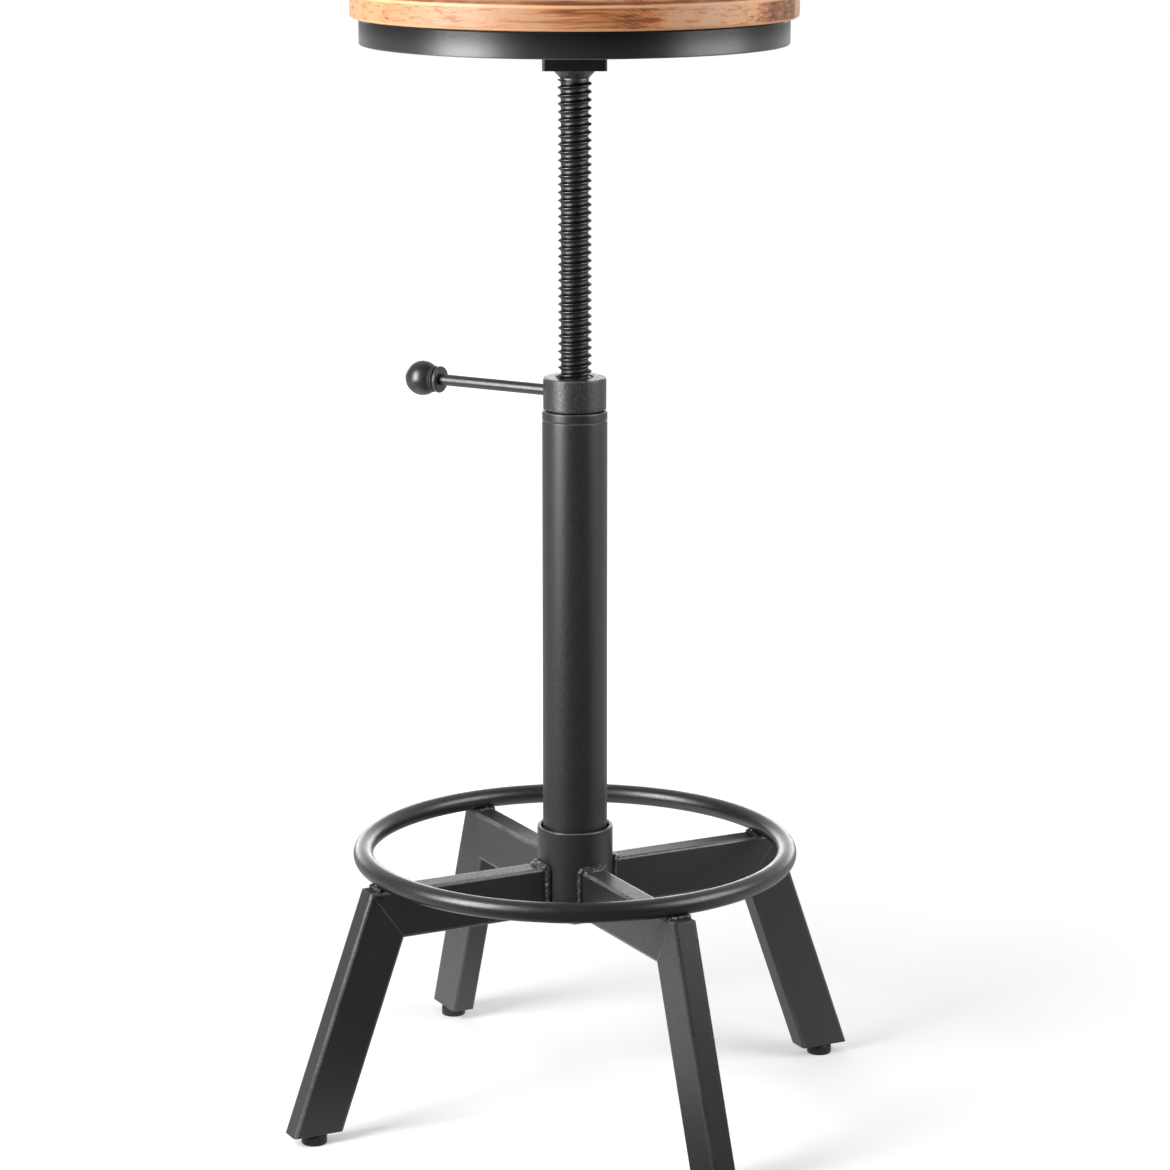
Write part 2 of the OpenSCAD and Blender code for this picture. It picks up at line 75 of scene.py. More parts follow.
SEAT_LOW, SEAT_HIGH = span("board_middle")
PAN_LOW, PAN_HIGH = span("seat_rim")
ARM_LOW, ARM_HIGH = span("arm_right")
FOOT_REACH = sum(span("foot_right", 0)) / 2
print("seat top", SEAT_HIGH, "arm top", ARM_HIGH, "foot centre", FOOT_REACH)

# %% [markdown]
# ## The camera
# The photograph looks down on the stool by about twelve degrees through a long lens, from 2.7
# metres away, so its upright lines stay nearly upright. The numbers were solved from the rim,
# the ring, the post and the feet, and the small shift puts the horizon where it was.

# %% Set the camera
VIEW_TURN = radians(-27.358)
VIEW_DOWN = 12.45
bpy.ops.object.camera_add(location=(-1.1734, -2.2832, 0.9433),
                          rotation=(radians(90 - VIEW_DOWN), 0, VIEW_TURN))
camera = bpy.context.object
camera.name = "camera"
camera.data.lens = 115.37
camera.data.sensor_width = 36
camera.data.shift_y = 0.00154
bpy.context.scene.camera = camera
print("camera is", round(camera.location.length, 2), "m away")

# %% [markdown]
# ## Finishes
# A finish is a material whose colour, gloss and relief come from patterns that are computed in
# three dimensions. Such patterns run through a piece like grain through wood, so no seam shows.
# Shader nodes are easier to read as sums, so a Wire stands for one socket: adding or
# multiplying wires adds the Math node that does it. A Finish owns the material, and its method
# named node adds any other node: its settings go first, and then its values and links.

# %% Shader sums and finishes
class Wire:
    """A socket that carries a number, colour or vector from one shader node to the next."""

    def __init__(self, finish, socket):
        self.finish, self.socket = finish, socket

    def math(self, operation, first, second):
        return self.finish.node("Math", {"operation": operation}, {0: first, 1: second})

    def __add__(self, other):
        return self.math("ADD", self, other)

    def __sub__(self, other):
        return self.math("SUBTRACT", self, other)

    def __rsub__(self, other):
        return self.math("SUBTRACT", other, self)

    def __mul__(self, other):
        return self.math("MULTIPLY", self, other)

    def __truediv__(self, other):
        return self.math("DIVIDE", self, other)

    def __pow__(self, other):
        return self.math("POWER", self, other)

    __radd__ = __add__
    __rmul__ = __mul__


class Finish:
    """A material for one kind of surface, with its shader's plain numbers set first."""

    def __init__(self, name, **numbers):
        self.material = bpy.data.materials.new(name)
        self.material.use_nodes = True
        self.tree = self.material.node_tree
        self.shader = self.tree.nodes["Principled BSDF"]
        for socket, value in numbers.items():
            self.shader.inputs[socket.replace("_", " ")].default_value = value
        self.place = self.node("TexCoord", {}, {}, "Object")

    def node(self, kind, settings, sockets, output=0):
        """Adds a node. A colour ramp's stops are settings; a Wire in sockets becomes a link."""
        made = self.tree.nodes.new("ShaderNode" + kind)
        for key, value in settings.items():
            if key == "stops":
                steps = made.color_ramp.elements
                steps.remove(steps[1])
                steps[0].position, steps[0].color = value[0][0], (*value[0][1], 1)
                for spot, colour in value[1:]:
                    steps.new(spot).color = (*colour, 1)
            else:
                setattr(made, key, value)
        for key, value in sockets.items():
            if isinstance(value, Wire):
                self.tree.links.new(value.socket, made.inputs[key])
            else:
                made.inputs[key].default_value = value
        return Wire(self, made.outputs[output])

    def stretched(self, along, turn=0, shift=(0, 0, 0)):
        """Object coordinates turned about z, shifted, then scaled along each axis."""
        turned_place = self.node("Mapping", {}, {
            "Vector": self.place, "Rotation": (0, 0, turn), "Location": shift})
        return self.node("VectorMath", {"operation": "MULTIPLY"}, {0: turned_place, 1: along})

    def noise(self, scale, detail=2.0, rough=0.5, place=None, bend=0.0):
        return self.node("TexNoise", {}, {"Vector": place or self.place, "Scale": scale,
                                          "Detail": detail, "Roughness": rough, "Distortion": bend})

    def fade(self, value, low, high, start=0.0, end=1.0):
        """Goes smoothly from start to end while value goes from low to high."""
        return self.node("MapRange", {"interpolation_type": "SMOOTHSTEP"}, {
            0: value, 1: low, 2: high, 3: start, 4: end})

    def mix(self, share, first, second):
        """A colour between two colours."""
        first, second = [c if isinstance(c, Wire) else (*c, 1) for c in (first, second)]
        return self.node("Mix", {"data_type": "RGBA"}, {0: share, 6: first, 7: second}, 2)

    def parts(self):
        """The three object coordinates as numbers."""
        split = self.node("SeparateXYZ", {}, {0: self.place})
        return [Wire(self, out) for out in split.socket.node.outputs]

    def worn_highlit_edges(self):
        """Where edges are worn and painted with a highlight: the pieces carry how sharp they are in
        their edge attribute.
        """
        sharp = self.node("Attribute", {"attribute_name": "edge"}, {}, "Fac")
        patchy = self.fade(self.noise(45, 3, 0.6), 0.30, 0.62, 0.40, 1.0)
        return self.fade(sharp, 0.55, 1.0) * patchy

    def finish(self, colour=None, gloss=None, relief=()):
        """Links what varies. Relief is a list of (height, distance in mm, strength)."""
        links = {"Base Color": colour, "Roughness": gloss}
        for socket, wire in links.items():
            if wire is not None:
                self.tree.links.new(wire.socket, self.shader.inputs[socket])
        normal = None
        for height, distance, strength in relief:
            sockets = {"Height": height, "Distance": distance * MM, "Strength": strength}
            if normal:
                sockets["Normal"] = normal
            normal = self.node("Bump", {}, sockets)
        if normal:
            self.tree.links.new(normal.socket, self.shader.inputs["Normal"])
        return self


print("finishes can be mixed")

# %% [markdown]
# ### Powder coat
# The steel is sprayed with charcoal powder and baked. Close up it has an orange-peel skin, a
# fine grey speckle and a satin sheen. One recipe serves every sprayed piece, with other numbers
# for grain, gloss and wear. Along edges the coat is thinner and polished, and their paler grey
# is partly wear and partly a painted highlight: strong on the arms and the left leg, faint on
# the other legs, which mostly only shine. Hands rub the pan's rim from below, so its upper part
# keeps less gloss, and that upper part is also painted darker, as shade under the boards. The
# block under the pan has a darker coat, which is painted shade. The collar's coat is the coarsest.

# %% Mix the powder coats
def powder_coat(name, shade, rough, speckle, peel, level=0.5, scuffs=0.5, grain=1500,
                shade_and_dull=None, wear_and_highlight=0.5, worn_highlit_grey=0.17, polish=0.05):
    """Shade is the coat's grey, speckle and scuffs are how far lighter specks and rubs show,
    peel is how deep the skin is, and grain how fine. Edges turn to a paler grey, which is worn
    coat and painted highlight at once, and lose roughness by polish. Between two given heights,
    in mm, the clear gloss fades out going up and the colour is painted darker, as shade."""
    coat = Finish(name, Specular_IOR_Level=level, Coat_Roughness=rough)
    cloud = coat.noise(9, 3, 0.55)
    speck = coat.fade(coat.noise(grain, 2, 0.7), 0.50, 0.68)
    grit = coat.fade(coat.noise(620, 3, 0.6), 0.44, 0.66)
    worn_and_highlit = coat.worn_highlit_edges()
    streak = coat.noise(34, 5, 0.72, coat.stretched((1, 1, 5.5)), 0.8)
    scuff = coat.fade(streak, 0.63, 0.74) * scuffs
    dark, light = [tuple(shade * tint * k for tint in (0.98, 1.0, 1.035)) for k in (0.82, 1.25)]
    skin = coat.mix(cloud, dark, light)
    skin = coat.mix(speck * speckle, skin, (0.11, 0.112, 0.116))
    skin = coat.mix(scuff * 0.22, skin, (0.085, 0.086, 0.088))
    # Edges turn pale grey: partly wear, partly a painted highlight.
    skin = coat.mix(wear_and_highlight * worn_and_highlit, skin, (worn_highlit_grey, worn_highlit_grey, 1.01 * worn_highlit_grey))
    gloss = rough + 0.09 * (cloud - 0.5) + 0.10 * grit - 0.05 * speck + 0.08 * scuff
    gloss = gloss - polish * worn_and_highlit
    # Between these heights the pan's rim loses its clear gloss and is painted darker, as shade
    # under the boards.
    if shade_and_dull:
        upper_shade_and_dull = coat.fade(coat.parts()[2], shade_and_dull[0] * MM, shade_and_dull[1] * MM)
        coat.tree.links.new((0.86 * (1 - upper_shade_and_dull)).socket, coat.shader.inputs["Coat Weight"])
        skin = coat.mix(upper_shade_and_dull * 0.7, skin, (0.005, 0.005, 0.0052))
    orange = coat.noise(330, 2, 0.5)
    fine = coat.noise(0.9 * grain, 2, 0.6)
    return coat.finish(skin, gloss, [(orange, 0.10, peel), (fine, 45 / grain, peel)])


frame_coat = powder_coat("frame_coat", 0.0125, 0.37, 0.19, 0.55, 0.75)
bar_coat = powder_coat("bar_coat", 0.0152, 0.37, 0.20, 0.55, 0.78, wear_and_highlight=0.60, worn_highlit_grey=0.21,
                       polish=0.16)
leg_coat = powder_coat("leg_coat", 0.0155, 0.37, 0.20, 0.55, 0.78, wear_and_highlight=0.22, worn_highlit_grey=0.20,
                       polish=0.22)
ring_coat = powder_coat("ring_coat", 0.0095, 0.33, 0.14, 0.40, 0.95)
pan_coat = powder_coat("pan_coat", 0.0110, 0.34, 0.14, 0.40, 0.28, shade_and_dull=(757, 771))
# The block under the seat gets a darker coat, which is painted shade.
block_shade_coat = powder_coat("block_shade_coat", 0.0055, 0.36, 0.04, 0.20, 0.30, 0.3, wear_and_highlight=0.06)
collar_coat = powder_coat("collar_coat", 0.0150, 0.38, 0.55, 1.0, 0.9, 0.3, 800)
lever_coat = powder_coat("lever_coat", 0.0160, 0.31, 0.30, 0.6, 0.9, 0.3)
print("powder coats mixed")

# %% [markdown]
# ### Coat over welds
# Under the coat a weld is rippled and spattered, and powder melts thinner over its tops. It
# therefore catches more light than the flat steel beside it: less rough, with a coarser relief.

# %% Mix the coat over welds
weld_coat = Finish("weld_coat", Specular_IOR_Level=0.7)
lumps = weld_coat.noise(420, 4, 0.62)
tops = weld_coat.fade(lumps, 0.5, 0.68)
cells = weld_coat.node("TexVoronoi", {}, {"Vector": weld_coat.place, "Scale": 620})
spatter = weld_coat.fade(cells, 0.12, 0.34, 1.0, 0.0)
weld_coat.finish(
    weld_coat.mix(tops * 0.8, (0.022, 0.0222, 0.0228), (0.14, 0.14, 0.142)),
    0.30 - 0.08 * tops + 0.10 * weld_coat.noise(1400, 2, 0.6),
    [(lumps, 0.30, 0.75), (spatter, 0.12, 0.5)])
print("weld coat mixed")

# %% [markdown]
# ### Varnished boards
# Growth rings are tubes around the pith, a line that runs along the board and wanders. A saw
# cuts through them, so the top shows long arches, and the rim shows slanted lines and, towards
# the boards' ends, arcs. One solid pattern gives all of these: the distance from a wandering
# line, folded into rings. Pale early wood darkens slowly to a narrow band of late wood, and fine
# fibres and longer streaks run along the grain. A pale band on the rounded edges is a painted
# highlight, and a dark line on the top edge is painted shade. Varnish lies over everything as a
# thin clear coat.

# %% Mix a finish for each board
GRAIN_TURN = radians(30)


def varnished(name, seed, pith, pitch, pale, honey, dark, knot=None, blush=None, dip=0.0,
              painted_light_bands=()):
    """The pith, knot (place along, place across, size) and blush (from, to) are in mm, and so
    are the bands of painted light and shade, (from, to, brightness factor)."""
    wood = Finish(name, Coat_Weight=0.14, Coat_Roughness=0.22, Specular_IOR_Level=0.3)
    shift = (seed * 0.37, 0, -0.783)

    def grained(along, around):
        return wood.stretched((along, around, around), GRAIN_TURN, shift)

    u, v, w = [Wire(wood, out) for out in
               wood.node("SeparateXYZ", {}, {0: grained(1, 1)}).socket.node.outputs]
    u = u - seed * 0.37
    slow = wood.noise(1, 2, 0.5, grained(5.5, 3))
    drift = wood.noise(1, 2, 0.5, grained(9, 2), 0.4)
    from_side = v - pith[0] * MM + 0.05 * (slow - 0.5)
    from_below = w - pith[1] * MM + 0.045 * (drift - 0.5) + dip * u * wood.fade(u, 0.0, 0.09)
    reach = (from_side * from_side + from_below * from_below) ** 0.5
    reach = reach + 0.0022 * (wood.noise(1, 3, 0.55, grained(16, 50)) - 0.5)
    eye = None
    if knot:
        side_u, side_v = u - knot[0] * MM, v - knot[1] * MM
        far = (side_u * side_u * 0.5 + side_v * side_v) ** 0.5 / (knot[2] * MM)
        eye = wood.fade(far, 0.5, 1.15, 1.0, 0.0)
        reach = reach + 0.011 * wood.fade(far, 0.0, 4.0, 1.0, 0.0)
    rings = reach / (pitch * MM)
    ring = wood.node("Math", {"operation": "FRACT"}, {0: rings})
    band = wood.node("ValToRGB", {"stops": [
        (0.0, (0.10,) * 3), (0.40, (0.22,) * 3), (0.76, (0.72,) * 3), (0.90, (1.0,) * 3),
        (1.0, (0.10,) * 3)]}, {0: ring})
    year = wood.noise(1.3, 1, 0.5, wood.node("CombineXYZ", {}, {0: rings, 1: seed * 9.1, 2: 0.0}))
    strong = wood.fade(wood.noise(1, 2, 0.5, grained(14, 40)), 0.42, 0.66, 0.12, 1.0)
    fibre = wood.noise(1, 4, 0.72, grained(30, 1000))
    streak = wood.noise(1, 3, 0.62, wood.stretched((8, 120, 430), GRAIN_TURN, shift))
    lines, lights = wood.fade(streak, 0.52, 0.61), wood.fade(streak, 0.47, 0.38)
    figure = wood.noise(1, 3, 0.6, grained(4, 85), 0.4)
    pores = wood.fade(wood.noise(1, 2, 0.5, grained(80, 2100)), 0.58, 0.72)
    tone = 0.9 * (wood.noise(1, 2, 0.5, grained(6, 14)) - 0.5)
    if blush:
        comes = wood.fade(u, blush[0] * MM, (blush[0] + 25) * MM)
        goes = wood.fade(u, (blush[1] - 25) * MM, blush[1] * MM, 1.0, -0.15)
        blushed = comes * goes
        tone = tone + 0.45 * blushed
        strong = strong + 0.6 * blushed
    depth = 0.10 + band * strong * (0.10 + 0.55 * year) + tone
    depth = depth + 0.5 * (fibre - 0.5) + 0.48 * lines - 0.36 * lights + 0.85 * (figure - 0.5)
    colour = wood.mix(wood.fade(depth, 0.05, 0.62), pale, honey)
    colour = wood.mix(wood.fade(depth, 0.52, 1.15), colour, dark)
    colour = wood.mix(pores * 0.42, colour, dark)
    if eye:
        core = wood.fade(eye + 0.35 * fibre, 0.5, 1.1)
        colour = wood.mix(core * 0.9, colour, tuple(0.4 * c for c in dark))
    # Bands of painted light and shade multiply the colour brighter or darker along the board.
    for start, end, light_factor in painted_light_bands:
        share = wood.fade(u, start * MM, (start + 9) * MM) * wood.fade(u, end * MM, (end - 9) * MM)
        colour = wood.node("Mix", {"data_type": "RGBA", "blend_type": "MULTIPLY"},
                           {0: share, 6: colour, 7: (light_factor, light_factor, light_factor, 1)}, 2)
    x, y, z = wood.parts()
    rim = (x * x + y * y) ** 0.5
    upper = wood.fade(z, 0.7874, 0.7882) * wood.fade(z, 0.7900, 0.7894)
    lower = wood.fade(z, 0.7750, 0.7742)
    # A pale band on the rounded edges is a painted highlight.
    painted_edge_highlight = wood.fade(rim, 0.1502, 0.1508) * (upper + lower)
    colour = wood.mix(painted_edge_highlight * 0.85, colour, tuple(1.5 * c for c in pale))
    # A dark line along the top edge is painted shade.
    top_edge = wood.fade(z, 0.7896, 0.7902) * wood.fade(z, 0.7924, 0.7912)
    painted_top_shade = wood.fade(rim, 0.1480, 0.1488) * top_edge * wood.fade(figure, 0.30, 0.6, 0.45, 0.9)
    colour = wood.mix(painted_top_shade, colour, dark)
    gloss = 0.40 + 0.18 * fibre + 0.06 * band
    relief = [(fibre, 0.05, 0.35), (1 - pores, 0.05, 0.4), (wood.noise(14, 2, 0.5), 0.25, 0.15)]
    return wood.finish(colour, gloss, relief)


print("grain turned by", round(degrees(GRAIN_TURN)), "degrees")

# %% [markdown]
# No two boards of a glued seat come from the same place in a log. So each one has its own pith,
# seed, ring width and three colours, from early wood to late wood, and some have a knot or a
# reddish stretch. Those of the front boards follow the photograph, and these two boards also
# carry bands of painted light and shade: brighter or darker stretches along the rim.

# %% Choose the pattern of each board
woods = {
    "board_front": varnished("wood_front", 1, (-128, -42), 2.3, (0.51, 0.280, 0.152),
                             (0.45, 0.168, 0.059), (0.20, 0.062, 0.022), None, (-22, 72), 0.5,
                             [(44, 160, 1.34)]),
    "board_front_mid": varnished("wood_front_mid", 2, (-52, -36), 2.2, (0.55, 0.298, 0.152),
                                 (0.41, 0.160, 0.068), (0.19, 0.062, 0.026), (122, -82, 5),
                                 (120, 400), painted_light_bands=[(96, 135, 1.33), (126, 200, 0.72)]),
    "board_middle": varnished("wood_middle", 3, (12, -50), 2.9, (0.54, 0.31, 0.178),
                              (0.42, 0.180, 0.076), (0.20, 0.068, 0.027), (-64, 10, 5)),
    "board_back_mid": varnished("wood_back_mid", 4, (88, -34), 2.3, (0.50, 0.27, 0.150),
                                (0.36, 0.145, 0.066), (0.16, 0.054, 0.024), None, (-90, 30)),
    "board_back": varnished("wood_back", 5, (132, -58), 2.6, (0.55, 0.32, 0.185),
                            (0.42, 0.185, 0.080), (0.21, 0.070, 0.028), (36, 118, 5)),
}
print("boards:", ", ".join(woods))

# %% [markdown]
# ### Screw, fasteners, nylon and plastic
# The screw is rolled from steel and oiled black: its crests are rubbed a little brighter, and
# brown grease stays low in the thread. How far a point is from the screw's axis tells crest
# from root, so that distance drives both colour and gloss. The flanks that face down are
# painted darkest, as shade, which the thread's mesh tells by an attribute. Zinc plate has a pale
# bluish cast with dull blotches, the bare plug keeps the rings of the lathe, nylon is milky,
# and the feet are moulded. The washer under the collar is painted near black, as the shade in
# the gap between collar and nut.

# %% Mix the metals and plastics
screw_steel = Finish("screw_steel", Metallic=1.0, Specular_IOR_Level=0.5)
x, y, z = screw_steel.parts()
away = (x * x + y * y) ** 0.5
grime = screw_steel.noise(85, 4, 0.65)
crest = screw_steel.fade(away + 0.0012 * (grime - 0.5), 0.0108, 0.0121)
rolled = screw_steel.noise(1, 3, 0.6, screw_steel.stretched((70, 70, 2600)))
nicks = screw_steel.fade(screw_steel.noise(240, 4, 0.7), 0.60, 0.72)
steel = screw_steel.mix(grime, (0.115, 0.112, 0.109), (0.20, 0.198, 0.195))
grease = screw_steel.fade(away, 0.0107, 0.0096, 0.0, 0.35)
steel = screw_steel.mix(grease, steel, (0.046, 0.042, 0.039))
steel = screw_steel.mix(crest * 0.6, steel, (0.22, 0.218, 0.215))
steel = screw_steel.mix(nicks * 0.3, steel, (0.42, 0.415, 0.41))
# Lower flanks are painted darkest, as shade.
under = screw_steel.node("Attribute", {"attribute_name": "under"}, {}, "Fac")
steel = screw_steel.mix(screw_steel.fade(under, 0.15, 0.6, 0.0, 0.85), steel,
                        (0.020, 0.019, 0.018))
screw_steel.finish(steel, 0.38 + 0.14 * grime - 0.10 * crest + 0.08 * (rolled - 0.5),
                   [(rolled, 0.05, 0.35), (nicks, 0.06, 0.5)])


def metal(name, low, high, rough, along, blotch):
    """A plain metal between two greys, with tool marks along a direction and stained blotches."""
    plate = Finish(name, Metallic=1.0)
    spots = plate.noise(60, 4, 0.6)
    lines = plate.noise(1, 3, 0.6, plate.stretched(along))
    stain = plate.fade(plate.noise(190, 4, 0.7), 0.55, 0.75) * blotch
    colour = plate.mix(stain, plate.mix(spots, low, high), tuple(0.45 * c for c in low))
    return plate.finish(colour, rough + 0.16 * (spots - 0.5) + 0.2 * stain, [(lines, 0.03, 0.4)])


DRAWN, LATHED = (1500, 1500, 300), (300, 300, 2200)
zinc_steel = metal("zinc_steel", (0.56, 0.58, 0.60), (0.70, 0.71, 0.70), 0.34, DRAWN, 0.35)
bare_steel = metal("bare_steel", (0.36, 0.355, 0.35), (0.50, 0.495, 0.48), 0.36, LATHED, 0.5)
# The washer under the collar is painted near black, as the shade in the gap between collar and nut.
gap_shade_steel = metal("gap_shade_steel", (0.024, 0.024, 0.025), (0.05, 0.05, 0.052), 0.42, LATHED, 0.5)


def moulded(name, low, high, rough, grain):
    """A moulded plastic between two colours, with fine pits."""
    plastic = Finish(name, Specular_IOR_Level=0.45)
    cloud = plastic.noise(40, 3, 0.5)
    pits = plastic.noise(grain, 2, 0.5)
    gloss = rough + 0.12 * (cloud - 0.5) + 0.1 * pits
    return plastic.finish(plastic.mix(cloud, low, high), gloss, [(pits, 0.04, 0.5)])


foot_plastic = moulded("foot_plastic", (0.010, 0.010, 0.0105), (0.018, 0.018, 0.019), 0.48, 1500)
guide_nylon = moulded("guide_nylon", (0.66, 0.63, 0.55), (0.78, 0.76, 0.70), 0.42, 900)
print("metals and plastics mixed")

# %% [markdown]
# ## Tools for modelling
# Every piece starts as a primitive and is shaped in edit mode. Operators act on what is
# selected, so a piece begins with nothing else selected, and its faces and edges are then
# picked by where they are and which way they run. A finished piece has its size and place in
# its mesh, a smooth shade over its curves, and the name of the group that it moves with.

# %% Helpers that begin, pick and finish
def clear():
    """Closes edit mode and selects nothing."""
    if bpy.context.object and bpy.context.object.mode != "OBJECT":
        bpy.ops.object.mode_set(mode="OBJECT")
    bpy.ops.object.select_all(action="DESELECT")


def only(piece):
    """Selects one piece and nothing else."""
    clear()
    piece.select_set(True)
    bpy.context.view_layer.objects.active = piece


def begin(name, primitive, **shape):
    """Adds a primitive with its place and size in its mesh, and opens it for modelling."""
    clear()
    primitive(**shape)
    piece = bpy.context.object
    bpy.ops.object.transform_apply(location=True, rotation=True, scale=True)
    piece.name = piece.data.name = name
    bpy.ops.object.mode_set(mode="EDIT")
    bpy.ops.mesh.select_mode(type="VERT")
    return piece


def pick(kind, test):
    """Selects the VERT, EDGE or FACE parts whose middle and direction pass the test."""
    bpy.ops.mesh.select_mode(type=kind)
    bpy.ops.mesh.select_all(action="DESELECT")
    mesh = bmesh.from_edit_mesh(bpy.context.edit_object.data)
    for thing in {"VERT": mesh.verts, "EDGE": mesh.edges, "FACE": mesh.faces}[kind]:
        if kind == "VERT":
            middle, way = thing.co, thing.normal
        elif kind == "EDGE":
            first, last = [vert.co for vert in thing.verts]
            middle, way = (first + last) / 2, (last - first).normalized()
        else:
            middle, way = thing.calc_center_median(), thing.normal
        if test(middle, way):
            thing.select_set(True)
    mesh.select_flush_mode()
    bmesh.update_edit_mesh(bpy.context.edit_object.data)


def outward():
    """Merges what coincides and turns every face outwards."""
    bpy.ops.mesh.select_all(action="SELECT")
    bpy.ops.mesh.remove_doubles(threshold=1e-6)
    bpy.ops.mesh.normals_make_consistent(inside=False)


def modify(piece, kind, **settings):
    """Adds a modifier and applies it at once."""
    modifier = piece.modifiers.new(kind.lower(), kind)
    for key, value in settings.items():
        setattr(modifier, key, value)
    bpy.context.view_layer.objects.active = piece
    bpy.ops.object.modifier_apply(modifier=modifier.name)


def mark_edges(piece):
    """Keeps how sharply the faces meet at each vertex, for the finish's worn edges and their
    painted highlight.
    """
    mesh = bmesh.new()
    mesh.from_mesh(piece.data)
    sharp = [max((edge.calc_face_angle(0) for edge in vert.link_edges if len(edge.link_faces) == 2),
                 default=0) for vert in mesh.verts]
    mesh.free()
    worn = piece.data.attributes.new("edge", "FLOAT", "POINT")
    worn.data.foreach_set("value", [min(1.0, max(0.0, (angle - 0.1) / 0.2)) for angle in sharp])


def finished(piece, body, slot, finish, *nodes, angle=35):
    """Shades a piece's curves smooth, and gives it its finish, its group and what it replaces."""
    only(piece)
    bpy.ops.object.shade_smooth_by_angle(angle=radians(angle))
    mark_edges(piece)
    piece.data.materials.clear()
    piece.data.materials.append(finish.material)
    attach(piece, body)
    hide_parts(*nodes)
    piece.select_set(False)
    return piece


def copied(piece, name, quarter):
    """A copy with its own mesh, turned by quarter turns about the stool's axis."""
    only(piece)
    bpy.ops.object.duplicate()
    twin = bpy.context.object
    twin.name = twin.data.name = name
    twin.rotation_euler = (0, 0, quarter * pi / 2)
    bpy.ops.object.transform_apply(location=False, rotation=True, scale=False)
    return twin


def joined(name, pieces):
    """Several meshes made one piece."""
    clear()
    for piece in pieces:
        piece.select_set(True)
    bpy.context.view_layer.objects.active = pieces[0]
    if len(pieces) > 1:
        bpy.ops.object.join()
    pieces[0].name = pieces[0].data.name = name
    return pieces[0]


QUARTERS = ("right", "back", "left", "front")


def quartered(first, pattern):
    """The right piece and its copies at the back, left and front, in that order."""
    return [first] + [copied(first, pattern.format(quarter), turn)
                      for turn, quarter in enumerate(QUARTERS) if turn]


print("tools ready")

# %% [markdown]
# ## Turned pieces
# Tubes, collars, washers and knobs come off a lathe, so they are made like that here: half of
# the cross-section is drawn as a chain of points, its corners are rounded, and the chain is spun
# about the axis. A plane merged to one point starts the chain, and extruding that point again
# and again draws it. Rounding comes before the spin, while a corner is still one point.

# %% The lathe
def turned(name, outline, rounds=(), steps=96, closed=True):
    """Spins an outline of (radius, height) points in mm. Rounds are (point number, radius).
    An outline that isn't closed starts and ends on the axis. Long stretches get a point near
    each end, so that the finish's worn and highlit band stays at the edges."""
    points = [mm(radius, 0, height) for radius, height in outline]
    around = dict(rounds)
    chain = []
    for number, point in enumerate(points):
        chain.append(point)
        other = (number + 1) % len(points)
        guards = [(around.get(end, 0) + 0.9) * MM for end in (number, other)]
        stretch = points[other] - point
        if (closed or other) and stretch.length > sum(guards) + 2 * MM:
            chain += [point + stretch.normalized() * guards[0],
                      points[other] - stretch.normalized() * guards[1]]
    if closed:
        chain.append(points[0])
    piece = begin(name, bpy.ops.mesh.primitive_plane_add, size=MM, location=points[0])
    bpy.ops.mesh.merge(type="CENTER")
    for last, point in zip(chain, chain[1:]):
        bpy.ops.mesh.extrude_region_move(TRANSFORM_OT_translate={"value": point - last})
    bpy.ops.mesh.select_all(action="SELECT")
    bpy.ops.mesh.remove_doubles(threshold=1e-6)
    for number, radius in rounds:
        corner = points[number]
        pick("VERT", lambda place, way: (place - corner).length < 1e-6)
        bpy.ops.mesh.bevel(offset=radius * MM, offset_type="OFFSET", segments=5, affect="VERTICES")
    bpy.ops.mesh.select_all(action="SELECT")
    bpy.ops.mesh.spin(steps=steps, angle=2 * pi, center=(0, 0, 0), axis=(0, 0, 1))
    outward()
    return piece


print("lathe ready")

# %% [markdown]
# ## The post
# The post is a plain steel tube. A nut with a long barrel sits in its top end, and only the
# nut's flange shows, parted from the tube by a fine groove. Both edges at the groove are
# broken, which is what makes the seam visible in the photograph. The nut's bore is plain here,
# and clears the screw's crests by a quarter of a millimetre all round, so the screw can turn.

# %% Turn the post and its nut
POST_WALL = 2.0
BORE_R = 12.25
post_low, post_high = span("column_tube")
nut_low, nut_high = span("column_nut")
post_r = span("column_tube", 0)[1]
inner_r = post_r - POST_WALL
barrel_r = inner_r - 0.05
post = turned("post_tube", [(post_r, post_low), (post_r, post_high), (inner_r, post_high),
                            (inner_r, post_low)], [(1, 0.6), (2, 0.3)], 128)
finished(post, "base", "frame_coat", frame_coat, "column_tube")
nut = turned("post_nut", [
    (post_r, post_high), (post_r, nut_high), (BORE_R + 1.2, nut_high), (BORE_R, nut_high - 1.2),
    (BORE_R, nut_low), (barrel_r, nut_low), (barrel_r, post_high)],
    [(0, 0.55), (1, 0.9), (5, 0.8)], 128)
finished(nut, "base", "frame_coat", frame_coat, "column_nut")
print("post", post_low, "to", nut_high)

# %% [markdown]
# ## The sleeve
# The post stands in a short, wider sleeve, to which the four arms are welded. Its top rim is
# rounded and catches the light all round, and a dark gap runs between it and the post.

# %% Turn the sleeve
SLEEVE_WALL = 2.5
sleeve_low, sleeve_high = span("base_sleeve")
sleeve_r = span("base_sleeve", 0)[1]
sleeve = turned("base_sleeve_tube", [
    (sleeve_r, sleeve_low), (sleeve_r, sleeve_high), (sleeve_r - SLEEVE_WALL, sleeve_high),
    (sleeve_r - SLEEVE_WALL, sleeve_low)], [(0, 0.5), (1, 1.0), (2, 0.8)], 128)
finished(sleeve, "base", "frame_coat", frame_coat, "base_sleeve")
print("sleeve radius", sleeve_r)

